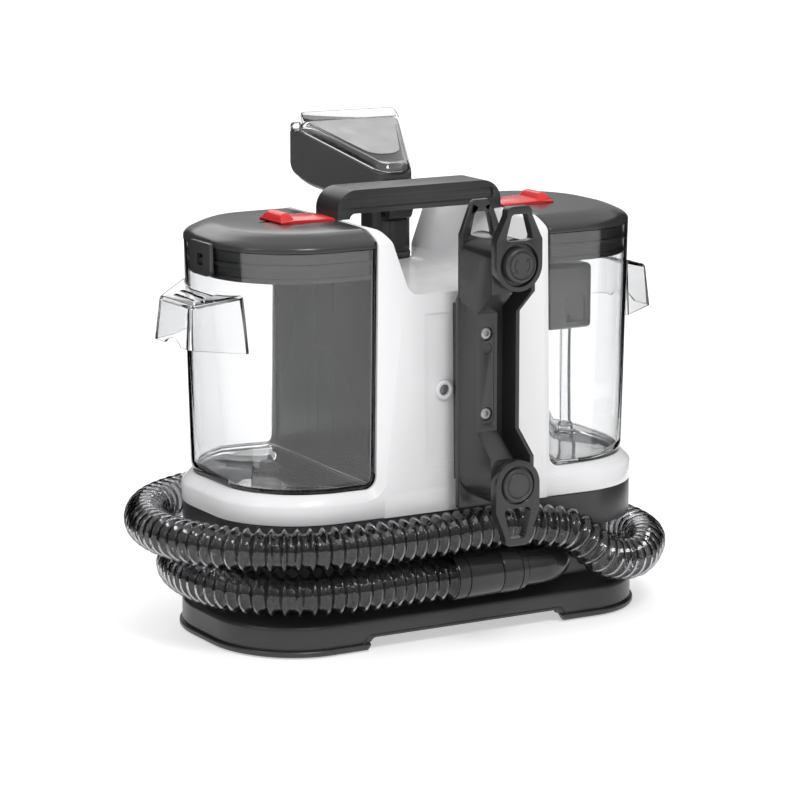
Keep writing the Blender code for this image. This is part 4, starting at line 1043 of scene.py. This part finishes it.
def screw(name, x, face, z, radius, depth, node):
    """A pan-head screw, driven along +Y, with a hexagon socket. Face is the Y of its top."""
    profile = [(0, depth), (radius, depth), (radius, 1.2), (radius * 0.8, 0.35), (radius * 0.4, 0), (0, 0)]
    head = turned(name, profile, (x, face, z), (0, 1, 0), 48)
    socket = (x, face - 1, z), (x, face + depth * 0.8, z)
    finish(cut(head, cylinder(f"{name}_socket", *socket, radius * 0.5, sides=6)), "machine", node)


def make_front_screw():
    """The raised ring round the body's screw, with its head low inside."""
    x, z = BODY_SCREW
    face = -core_front(z) - 0.35
    profile = [(7.6, -0.0), (7.6, -1.0), (7.0, -1.6), (5.2, -1.6), (4.5, -1.1), (4.3, 0.0)]
    ring = turned("screw_ring", profile, (x, face, z), (0, 1, 0))
    finish(ring, "machine", "body_screw_boss")
    screw("body_screw_head", x, face - 0.4, z, 3.8, 2.4, "body_screw")


# ---------------------------------------------------------------- handle


def make_handle():
    half = CORE_HALF - 2.0
    foot = TOWER_TOP + GAP
    corner = (5.0, HANDLE_UNDERSIDE - foot)
    outline = [(-half, foot)]
    outline += arc((-half + 17, HANDLE_TOP - 17), (17, 17), 180, 90, 16)
    outline += arc((half - 17, HANDLE_TOP - 17), (17, 17), 90, 0, 16)
    outline += [(half, foot)]
    outline += arc((half - 16, foot), corner, 0, 90, 10)
    outline += arc((-half + 16, foot), corner, 90, 180, 10)
    handle = slab("handle_bar", outline, -18, 18, "XZ", edge=2.8, segments=4, angle=30)
    low, high = HANDLE_UNDERSIDE + 3.6, HANDLE_TOP - 5.4
    recess = rounded([(-68, low), (-68, high), (68, high), (68, low)], 4.4, 8)
    tools = []
    for side in (-1, 1):
        near, far = ordered(side, 15.6, 22)
        tools.append(slab(f"handle_recess_{side}", recess, near, far, "XZ"))
    handle = cut(handle, *tools)
    handle = soften(handle, 0.9, 3, 60)
    finish(handle, "machine", "handle")


# ---------------------------------------------------------------- tanks and lids


def make_tank(side, name):
    foot = DECK + GAP
    rings = []
    for step in range(10):
        angle = math.radians(10 * step)
        inset, rise = 1 - math.sin(angle), 1 - math.cos(angle)
        inner = TANK_SIDE + TANK_TAPER + TANK_CORNER * inset
        rings.append(end_ring(side, TANK_FOOT_PLAN, foot + TANK_CORNER * rise, 3 * inset, inner))
    rings.append(end_ring(side, TANK_TOP_PLAN, LID_SEAM - GAP))
    hollow = ((LID_SEAM - GAP, 0.0), (foot + TANK_CORNER, 0.0), (foot + 6.0, 1.0), (foot + 4.0, 3.0))
    for z, inset in (*hollow, (foot + 3.3, 6.0)):
        inner = TANK_SIDE + TANK_WALL + taper(z) + inset
        plan = tuple(value - inset * 0.4 for value in tank_plan(z))
        rings.append(end_ring(side, plan, z, TANK_WALL, inner, 2.5))
    tank = loft(f"{name}_tank_shell", rings)
    x, radius = (PORTS[name][0], 8.5 if side < 0 else 9.5)
    tank = cut(tank, cylinder(f"{name}_tank_port", (x, 0, DECK - 2), (x, 0, DECK + 8), radius))
    finish(tank, f"{name}_tank", f"{name}_tank")


def make_hood(side, name):
    """The finger grip on a tank's outer end: a clear hood that is open below."""

    def ring(grow, z_at_wall, fall=0.28, inner=False):
        outer = 209.5 + grow
        back = 140 if inner else 150
        plan = [(back, -53 - grow), (176, -51 - grow), (outer, -29 - grow), (outer, 29 + grow)]
        plan += [(176, 51 + grow), (back, 53 + grow)]
        plan = rounded(plan, 4 if inner else 6, 8)
        return [(side * x, y, z_at_wall - fall * (x - 176)) for x, y in plan]

    top = [ring(grow, z) for grow, z in ((0.1, 281.6), (-0.3, 282.9), (-1.2, 283.8), (-2.4, 284.1))]
    hood = loft(f"{name}_hood_shell", [ring(2.9, 238.6, -0.06), *top])
    inside = [ring(1.2, 230.0, 0.0, True), ring(-2.0, 280.2, inner=True), ring(-3.4, 281.6, inner=True)]
    hollow = loft(f"{name}_hood_hollow", inside)
    wall = [end_ring(side, tank_plan(z), z, -GAP, 60) for z in (200.0, 300.0)]
    tools = [loft(f"{name}_hood_seat", wall), hollow]
    for index in range(3):
        low, high = ordered(side, 185.3 + 7 * index, 187.9 + 7 * index)
        reach = 24 - 3 * index
        tools.append(box(f"{name}_hood_slot_{index}", (low, -reach, 262), (high, reach, 292), 1.2))
    tools.append(cylinder(f"{name}_hood_arch", (side * 240, 0, 224), (side * 190, 0, 224), 22, sides=72))
    finish(cut(hood, *tools), f"{name}_tank", f"{name}_hood", angle=26)


def make_lid(side, name):
    steps = [(0.35, 0.0), (0.0, 0.5), *dome_steps()[1:], (24.0, 13.5), (44.0, LID_TOP - LID_SEAM)]
    rings = [end_ring(side, TANK_TOP_PLAN, LID_SEAM + rise, inset) for inset, rise in steps]
    inner = TANK_SIDE + 3.0
    steps = ((4.0, -2), (4.8, 2.5), (12.0, 6.5))
    under = [end_ring(side, TANK_TOP_PLAN, LID_SEAM + rise, inset, inner, 2.5) for inset, rise in steps]
    lid = loft(f"{name}_lid_dome", rings)
    low, high = ordered(side, 70, 126)
    bed = box(f"{name}_latch_bed", (low, -LATCH_HALF - GAP, LATCH_BED), (high, LATCH_HALF + GAP, 350))
    point = [(side * 125, -5.5), (side * 125, 5.5), (side * 137, 0)]
    slot = slab(f"{name}_latch_slot", point, LATCH_BED - 0.5, 340)
    lid = cut(lid, loft(f"{name}_lid_hollow", under), bed, slot)
    finish(lid, f"{name}_lid", f"{name}_lid")


def make_seal(side, name):
    """The lid's inner skirt, with two sealing ribs that press on the tank wall."""
    inner = TANK_SIDE + TANK_WALL
    bands = [(1.7, 316.6), (1.7, 308.6)]
    for rib in (306.0, 295.2):
        bands += [(1.7, rib + 2.2), (0.6, rib + 1.8), (0.3, rib + 1.0), (0.3, rib - 1.0), (0.6, rib - 1.8)]
        bands += [(1.7, rib - 2.1)]
    rings = []
    for gap, z in bands:
        rings.append(end_ring(side, tank_plan(z), z, TANK_WALL + gap, inner + gap + taper(z), 2.5))
    for z in (293.2, 316.6):
        rings.append(end_ring(side, tank_plan(z), z, TANK_WALL + 3.2, inner + 3.2, 2.5))
    skirt = loft(f"{name}_seal_skirt", rings, endless=True)
    finish(skirt, f"{name}_lid", f"{name}_lid_seal", material=SEAL_CHARCOAL)


def make_latch(side, name):
    """A red slide: a plate with slanted edges and a low ridge, and a raised grip at its outer end."""
    near, far = TANK_SIDE + 0.2, 125.4
    half = LATCH_HALF
    foot, over = LATCH_BED + 0.4, LID_TOP + GAP

    def row(x, low, high, slant, crown):
        points = [(-half, low), (-half, high - 0.9), (-half + slant, high), (0, high + crown)]
        points += [(half - slant, high), (half, high - 0.9), (half, low)]
        return [(side * x, y, z) for y, z in points]

    rows = [row(near, foot, over + 0.9, 1.0, 0.2), row(near + 1.2, foot, over + 1.6, 1.6, 0.4)]
    rows += [row(96, foot, over + 2.2, 3.6, 1.0), row(112, foot, over + 2.7, 3.8, 0.4)]
    rows += [row(117, foot, over + 2.4, 3.0, 0.2), row(117.2, over, over + 2.4, 3.0, 0.2)]
    rows += [row(far - 0.5, over, over + 1.9, 1.4, 0.0), row(far, over + 0.3, over + 1.3, 0.9, 0.0)]
    plate = loft(f"{name}_latch_slide", rows)
    grip = []
    for rise, x_in, x_out, reach, round_off in (
        (0.6, 111.4, 125.0, 17.4, 2.0), (2.6, 112.6, 124.6, 16.4, 2.4), (5.4, 113.9, 122.6, 14.2, 2.6),
        (6.8, 114.8, 121.2, 12.8, 2.4), (7.4, 116.0, 119.8, 11.6, 1.6),
    ):
        outline = rounded([(x_in, -reach), (x_out, -reach), (x_out, reach), (x_in, reach)], round_off, 6)
        grip.append(at_height([(side * x, y) for x, y in outline], over + rise))
    plate = join(plate, loft(f"{name}_latch_grip", grip))
    finish(plate, f"{name}_latch", f"{name}_latch", angle=24)


def make_clip(side, name):
    """The snap clip that ties the lid to the tank's outer end, with its window and catch."""
    middle, half = 7.0 * side, 17.3
    face = TANK_TOP_PLAN[0] + 0.4
    low, high = ordered(side, face, face + 3.2)
    corners = [(middle + y, z) for y, z in ((-half, 295), (half, 295), (half, 321), (-half, 321))]
    outline = rounded(corners, [6.0, 6.0, 2.4, 2.4], 8)
    clip = slab(f"{name}_clip_plate", outline, low, high, "YZ", edge=0.7, segments=3, angle=60)
    corners = [(middle + y, z) for y, z in ((-5, 302.5), (5, 302.5), (5, 312), (-5, 312))]
    clip = cut(clip, slab(f"{name}_clip_window", rounded(corners, 1.2), low - 2, high + 2, "YZ"))
    finish(clip, f"{name}_lid", f"{name}_clip")
    inner, outer = ordered(side, face + 0.4, face + 2.2)
    catch = box(f"{name}_clip_catch", (inner, middle - 3.4, 304.2), (outer, middle + 3.4, 308.4), 0.6)
    finish(catch, f"{name}_lid", slot="fitting_black")


def make_left_valve():
    """The clean tank's spring valve, which opens on the pump's socket."""
    profile = [(0, 10), (5.2, 10), (6, 9.2), (6, 6.4), (11.4, 6.4), (12, 5.8), (12, 3.9), (8.1, 3.9)]
    profile += [(8.1, -3.4), (7.5, -4), (0, -4)]
    finish(turned("left_valve_plug", profile, (PORTS["left"][0], 0, DECK)), "left_tank", "left_tank_valve")


def make_recovery_parts():
    pipe_x = PORTS["right"][0]
    shell = box("separator_shell", (84, -29, 226), (157, 29, 280), 4.0, 5)
    float_x = (low_of("shutoff_float")[0] + high_of("shutoff_float")[0]) / 2
    float_foot = low_of("shutoff_float")[2]
    door = [(132, 232), (150, 232)] + arc((141, 248), (9, 7), 0, 180, 20)
    tools = [
        box("separator_inside", (87, -26, 229), (154, 26, 277)),
        slab("separator_door", door, -40, -20, "XZ"),
        cylinder("separator_port", (pipe_x, 0, 220), (pipe_x, 0, 232), 5.5),
        cylinder("separator_outlet", (float_x, 0, 270), (float_x, 0, 285), 12),
    ]
    finish(cut(shell, *tools), "right_tank", "separator_box")
    profile = [(0, 20), (8.2, 20), (9.6, 19.4), (13.4, 15.6), (14, 14.4), (14, 3.6), (13.2, 2.2), (11.4, 0.3)]
    profile += [(10.6, 0), (0, 0)]
    finish(turned("float_cup", profile, (float_x, 0, float_foot)), "float", "shutoff_float")
    pipe = [(5.0, 229), (5.0, 142), (5.6, 140.4), (6.9, 138.8), (7.2, 137.6), (7.2, 131.4), (6.8, 131)]
    pipe += [(5.8, 131), (5.4, 131.4), (5.4, 137), (3.4, 141), (3.4, 229)]
    finish(turned("standpipe_tube", pipe, (pipe_x, 0, 0)), "right_tank", "standpipe")


# ---------------------------------------------------------------- cord bracket


def loop_outline(length, reach):
    """A long loop about its axis at the origin, pointing along +v."""
    outline = arc((0, 0), (reach, reach), 180, 360, 30)
    outline += [(reach, length * 0.42), (11.2, length - 7)]
    outline += arc((6.5, length - 5), (4.5, 5), 0, 90, 8)
    outline += arc((-6.5, length - 5), (4.5, 5), 90, 180, 8)
    outline += [(-11.2, length - 7), (-reach, length * 0.42)]
    return outline


def loop_hole(length, low):
    return rounded([(-12.5, low), (12.5, low), (6.8, length - 6), (-6.8, length - 6)], 3, 8)


def shifted(outline, z, flip=1):
    return [(x, z + flip * v) for x, v in outline]


def make_bracket():
    half = [(20.0, 110), (20.0, 277), (18.5, 281), (18.5, 327), (9, 351), (6, 353.6)]
    plate = half + [(-x, z) for x, z in reversed(half)]
    hole = rounded([(-10, 325), (10, 325), (5.5, 344), (-5.5, 344)], 2.4)
    back = slab("bracket_plate", plate, BRACKET_FACE, BRACKET_FACE + 6, "XZ", [hole], 1.6, 3, 50)
    arms = arc((0, RING_AXIS), (ARM_HALF, ARM_HALF), 180, 360, 30)
    arms += arc((0, HOOK_AXIS), (ARM_HALF, ARM_HALF), 0, 180, 30)
    spine = slab("bracket_spine", arms, ARM_FACE, BRACKET_FACE + 2, "XZ")
    recess = [(-182, 140), (NECK_FACE, 176), (NECK_FACE, 268.5), (-182, 305.5)]
    spine = cut(spine, slab("bracket_waist", recess, -40, 40, "YZ"))
    seat = BRACKET_FACE + 5
    foot = [(seat, 130), (-core_front(130) - GAP, 130), (-core_front(270) - GAP, 270), (seat, 270)]
    back = join(back, spine, slab("bracket_stem", foot, -12, 12, "YZ"))
    pocket = [(-118, 165), (-170, 122), (-170, 318), (-118, 284)]
    tools = [slab("bracket_pocket", pocket, -1.0, 16.0, "YZ")]
    x, screws = -9.8, (189.6, 252.6)
    for z in screws:
        ends = (x, NECK_FACE - 6, z), (x, NECK_FACE + 4.4, z)
        tools.append(cylinder(f"bracket_hole_{int(z)}", *ends, 5.4))
    z = screws[1] - 11.5
    ends = (x, NECK_FACE - 6, z), (x, NECK_FACE + 1.5, z)
    tools.append(cylinder("bracket_dimple", *ends, 4.6, edge=0.3))
    channel = rounded([(-16.0, 181), (-3.6, 181), (-3.6, 261), (-16.0, 261)], 6.0, 10)
    tools.append(slab("bracket_channel", channel, NECK_FACE - 4, NECK_FACE + 0.6, "XZ"))
    back = cut(back, *tools)
    back = soften(back, 1.1, 3, 55)
    finish(back, "machine", "cord_bracket", material=BRACKET_GLOSS_SHADED)
    for number, z in enumerate(screws, 1):
        screw(f"bracket_head_{number}", x, NECK_FACE + 1.2, z, 5.0, 2.9, f"bracket_screw_{number}")


def arrow_cutters(face, z):
    """Two turning arrows, engraved in the knob as a pair of arcs with a barb each."""
    tools = []
    for turn in (0, 180):
        path = arc((0, z), (6.6, 6.6), turn - 52, turn + 52, 18)
        tools.append(sweep(f"arrow_arc_{turn}", [(x, face, v) for x, v in path], [0.42] * len(path), 12))
        tip = Vector(path[-1])
        for barb, lean in ((0, 2.3), (1, 3.4)):
            angle = math.radians(turn + 52 + (-62 if barb else -128))
            away = Vector((math.cos(angle), math.sin(angle))) * lean
            points = [(tip.x, face, tip.y), (tip.x + away.x, face, tip.y + away.y)]
            tools.append(sweep(f"arrow_barb_{turn}_{barb}", points, [0.42] * 2, 12))
    return tools


def make_loop(name, body, node, length, reach, axis, flip, hole_low, dish, depth, flare):
    """One of the two loops that the cord winds round, with a round dish that its knob or disc lies in."""
    outline = shifted(loop_outline(length, reach), axis, flip)
    hole = shifted(loop_hole(length, hole_low), axis, flip)
    loop = slab(name, outline, LOOP_FACE, ARM_FACE - 0.5, "XZ", [hole], 1.6, 4, 35)
    rim = dish + flare
    profile = [(0, 0), (dish, 0), (dish, 0.6 - depth), (rim, -0.2 - depth), (rim, -8), (0, -8)]
    loop = cut(loop, turned(f"{node}_dish", profile, (0, LOOP_FACE + depth, axis), (0, 1, 0)))
    finish(loop, body, node, angle=28, material=BRACKET_GLOSS_SHADED)


def make_loops():
    """The upper loop turns on its knob; the lower one is fixed and has a disc."""
    make_loop("hook_loop", "cord_hook", "cord_hook", 45.2, 20.5, HOOK_AXIS, 1, 18.5, 16.6, 3, 0.6)
    make_loop("lower_loop_frame", "machine", "lower_loop", 47.8, 19.6, RING_AXIS, -1, 18, 14.6, 2, 0.8)
    face, back = low_of("hook_knob")[1], high_of("hook_knob")[1]
    profile = [(0, back), (13.7, back), (13.7, face + 2.6), (13.4, face + 1.4), (12.7, face + 0.5)]
    profile += [(11.8, face + 0.1), (11.2, face), (10.9, face + 0.5), (10.5, face + 0.7), (10.1, face + 0.5)]
    profile += [(9.8, face), (0, face)]
    knob = turned("hook_knob_turned", profile, (0, 0, HOOK_AXIS), (0, 1, 0), 96)
    knob = cut(knob, *arrow_cutters(face, HOOK_AXIS))
    finish(knob, "cord_hook", "hook_knob", angle=30)
    face, back = low_of("lower_disc")[1], high_of("lower_disc")[1]
    profile = [(0, back), (13.4, back), (13.4, face + 2.0), (12.9, face + 0.8), (12.0, face + 0.2)]
    profile += [(11.2, face), (10.6, face), (10.3, face + 0.4), (9.8, face + 0.6), (9.3, face + 0.4)]
    profile += [(9.0, face), (0, face)]
    finish(turned("lower_disc_turned", profile, (0, 0, RING_AXIS), (0, 1, 0), 96), "machine", "lower_disc")


# ---------------------------------------------------------------- rear fittings


def make_rear_fittings():
    face = low_of("switch_bezel")[1]
    x, z = SWITCH
    square = [(x + a, z + b) for a, b in ((-13.5, -13.5), (13.5, -13.5), (13.5, 13.5), (-13.5, 13.5))]
    window = [(x + a, z + b) for a, b in ((-9, -10), (9, -10), (9, 10), (-9, 10))]
    bezel = slab("switch_frame", rounded(square, 3, 8), face, face + 2, "XZ", [window], 0.5, 2, 60)
    finish(bezel, "machine", "switch_bezel")
    profile = [(0.6, -8.2), (3.7, -8.2), (3.2, -5), (2.75, -1.5), (2.9, 1.5), (3.7, 5), (5.5, 8.2)]
    profile.append((0.6, 8.2))
    profile = [(face + out, z + up) for out, up in profile]
    rocker = slab("rocker_key", profile, x - 8.2, x + 8.2, "YZ", edge=0.4, segments=2, angle=50)
    finish(rocker, "power_rocker", "power_rocker", angle=30)
    x, z = INLET
    near, far = low_of("power_inlet")[1], high_of("power_inlet")[1]
    profile = [(0, near), (9.0, near), (9.0, far - 1.2), (8.0, far), (6.4, far), (6.2, far - 3.0)]
    profile.append((0, far - 3.0))
    finish(turned("inlet_socket", profile, (x, 0, z), (0, 1, 0)), "machine", "power_inlet")


# ---------------------------------------------------------------- hand tool


def on_head(x, reach):
    """A place on the tool's head, which is turned a little about the grip. Reach runs to its mouth."""
    along, across = math.cos(HEAD_TURN), math.sin(HEAD_TURN)
    return TOOL_X + x * along + reach * across, TOOL_Y + reach * along - x * across


def head_section(reach, half, low, high, foot_corner, top_corner):
    foot, top = (foot_corner, foot_corner), (top_corner, top_corner)
    outline = arc((half - foot_corner, low + foot_corner), foot, -90, 0, 10)
    outline += arc((half - top_corner, high - top_corner), top, 0, 90, 6)
    outline += arc((top_corner - half, high - top_corner), top, 90, 180, 6)
    outline += arc((foot_corner - half, low + foot_corner), foot, 180, 270, 10)
    return [(*on_head(x, reach), z) for x, z in outline]


def cover_line(reach):
    """Height of the seam between the tool's dark body and its clear cover."""
    return 350.5 + (reach - HEAD_NOSE) * 0.31


def head_half(reach):
    return 14.5 + (reach - HEAD_NOSE) * (52.0 - 14.5) / (HEAD_MOUTH - HEAD_NOSE)


def trigger_bed(name):
    """The room that the trigger swings in."""
    reach = TRIGGER_HALF + 0.7
    return box(name, (TRIGGER_X - reach, TOOL_Y - 34, 310.5), (TRIGGER_X + reach, TOOL_Y - 15.5, 345.5))


def make_tool_body():
    foot = low_of("tool_grip")[2]
    profile = [(0, 52), (17.5, 52), (19.2, 50.6), (GRIP_RADIUS, 48), (GRIP_RADIUS, 1.5), (19.9, 0.4)]
    profile += [(19.2, 0), (0, 0)]
    grip = turned("grip_shell", profile, (TOOL_X, TOOL_Y, foot), sides=96)
    grip = cut(grip, trigger_bed("grip_trigger_bed"))
    finish(grip, "tool", "tool_grip")
    profile = [(0, 12.9), (20.3, 12.9), (20.8, 12.3), (20.8, 9.4), (20.3, 9.1), (20.3, 8.5), (20.8, 8.2)]
    profile += [(20.8, 1.2), (20.5, 0.3), (19.8, 0), (0, 0)]
    finish(turned("collar_ring", profile, (TOOL_X, TOOL_Y, COLLAR_FOOT), sides=96), "tool", "tool_collar")
    stations = [(-21, 340, 3.6), (-20.6, 338.6, 2.4), (-19.6, 337.6, 1.2), (-18, 337.0, 0.4)]
    underside = ((-12, 336.6), (4, 336.6), (10, 333.6), (16, 330.2), (22, 328.2), (38, 328.2), (56, 330.4))
    stations += [(reach, z, 0.0) for reach, z in (*underside, (64, 332.4), (70, 334.8))]
    rings = []
    for reach, low, narrow in stations:
        corner = 3.5 + 8.0 * max(0.0, reach) / HEAD_MOUTH
        rings.append(head_section(reach, head_half(reach) - narrow, low, cover_line(reach), corner, 1.2))
    for step in range(8):
        angle = math.radians(12.85 * step)
        reach = HEAD_MOUTH - 6.0 + 6.0 * math.sin(angle)
        shrink = 3.0 * (1 - math.cos(angle))
        low, high = 337.2 + 2.6 * shrink, 379.8 - 1.1 * shrink
        rings.append(head_section(reach, head_half(reach) - shrink, low, high, 11.5, 2.4))
    head = loft("head_shell", rings)
    head = cut(
        head,
        cylinder("head_seat", (TOOL_X, TOOL_Y, 300), (TOOL_X, TOOL_Y, 336.5), 21.0),
        trigger_bed("head_trigger_bed"),
    )
    finish(head, "tool", "tool_head", angle=26)


def cover_outline(inset, corner):
    """The cover's plan: a rounded nose, straight flaring sides and a square mouth."""
    back = 73.0 - inset
    nose = HEAD_NOSE - 1.0 + inset
    front = HEAD_NOSE + 6.0
    wide, narrow = head_half(back) - 0.4 - inset, head_half(front) - 0.8 - inset
    tip = 7.5 - inset * 0.4
    points = [(-wide, back), (-narrow, front), (-tip, nose), (tip, nose), (narrow, front), (wide, back)]
    return rounded(points, [corner, *[corner + 7.0] * 4, corner], 10)


def on_cover_plane(outline, rise):
    return [(*on_head(x, reach), cover_line(reach) + rise) for x, reach in outline]


def make_tool_cover():
    """The clear suction channel over the head, with slanted sides, a frosted window and a lip."""
    outer = [(0.0, GAP), (0.2, 1.2), (0.9, 3.4), (2.6, 6.2), (4.2, 7.6), (5.6, 8.0)]
    cover = loft("cover_shell", [on_cover_plane(cover_outline(inset, 4.0), rise) for inset, rise in outer])
    inner = [(2.2, -4.0), (2.4, 0.6), (3.2, 2.8), (4.6, 4.8), (6.2, 5.6)]
    hollow = loft("cover_hollow", [on_cover_plane(cover_outline(inset, 3.2), rise) for inset, rise in inner])
    cover = cut(cover, hollow)
    lip = []
    for reach, z in ((67.6, 385.6), (74.2, 392.6)):
        corners = ((-42, reach), (44, reach), (44, reach + 2.2), (-42, reach + 2.2))
        lip.append([(*on_head(x, along), z) for x, along in corners])
    ends = [(*on_head(x, 72), 380.6) for x in (-51.5, -44)]
    boss = cylinder("cover_boss", *ends, 4.6, edge=1.2)
    cover = join(cover, soften(loft("cover_lip", lip), 0.5), boss)
    finish(cover, "tool", "tool_cover", angle=30)
    corners = [(-40.5, 66), (-12.5, -2.5), (12.5, -2.5), (40.5, 66)]
    outline = rounded(corners, [2.5, 15.0, 15.0, 2.5], 12)
    edge = [(-43.5, 68.7, 384.0), (-42.5, 73.6, 390.2), (-39.5, 75.3, 392.4), (42.5, 75.3, 392.4)]
    edge += [(45.5, 73.6, 390.2), (46.5, 68.7, 385.0)]
    bead = sweep("cover_lip_bead", [(*on_head(x, along), z) for x, along, z in edge], [0.45] * len(edge), 12)
    finish(bead, "tool", slot="hose_smoke")
    window = loft("cover_window", [on_cover_plane(outline, rise) for rise in (8.05, 8.5)])
    finish(window, "tool", slot="tank_clear", material=FROSTED_WINDOW)
    rim = on_cover_plane(cover_outline(0.3, 4.0), 0.2)
    rim = [point for point in rim if point[1] < TOOL_Y + 64]
    gasket = sweep("cover_gasket", rim, [0.55] * len(rim), 12)
    finish(gasket, "tool", slot="fitting_black")


def make_tool_details():
    back = TOOL_Y - 21.1
    profile = [(back, 343.5), (back, 313)] + arc((back - 2.4, 325), (7, 12), -90, -180, 14)
    profile += [(back - 7.6, 333), (back - 6.2, 338.5), (back - 3.4, 343.5)]
    low, high = TRIGGER_X - TRIGGER_HALF, TRIGGER_X + TRIGGER_HALF
    trigger = slab("trigger_key", profile, low, high, "YZ", edge=2.6, segments=5, angle=50)
    finish(trigger, "trigger", "trigger")
    profile = [(0, 7.8), (7.3, 7.8), (7.5, 7.2), (5.4, 0.6), (4.8, 0), (1.4, 0), (1.2, 1.0), (0, 1.0)]
    finish(turned("spray_nozzle", profile, (*on_head(0, 62), low_of("spray_tip")[2])), "tool", "spray_tip")


# ---------------------------------------------------------------- main


def paint_frame():
    """Gives every node that stays the finish of its material slot."""
    for name, obj in frame["nodes"].items():
        obj.data.materials.clear()
        obj.data.materials.append(MATERIALS[SLOT_OF[name]])


def main():
    make_camera()
    make_world()
    make_stage()
    paint_frame()
    hose, route = make_hose()
    cuff = make_hose_fittings()
    make_base_tray()
    make_tunnel_rims()
    make_waist()
    make_body()
    make_end_panels()
    make_front_screw()
    make_handle()
    for side, name in ((-1, "left"), (1, "right")):
        make_tank(side, name)
        make_hood(side, name)
        make_lid(side, name)
        make_seal(side, name)
        make_latch(side, name)
        make_clip(side, name)
    make_left_valve()
    make_recovery_parts()
    make_bracket()
    make_loops()
    make_rear_fittings()
    make_tool_body()
    make_tool_cover()
    make_tool_details()


main()
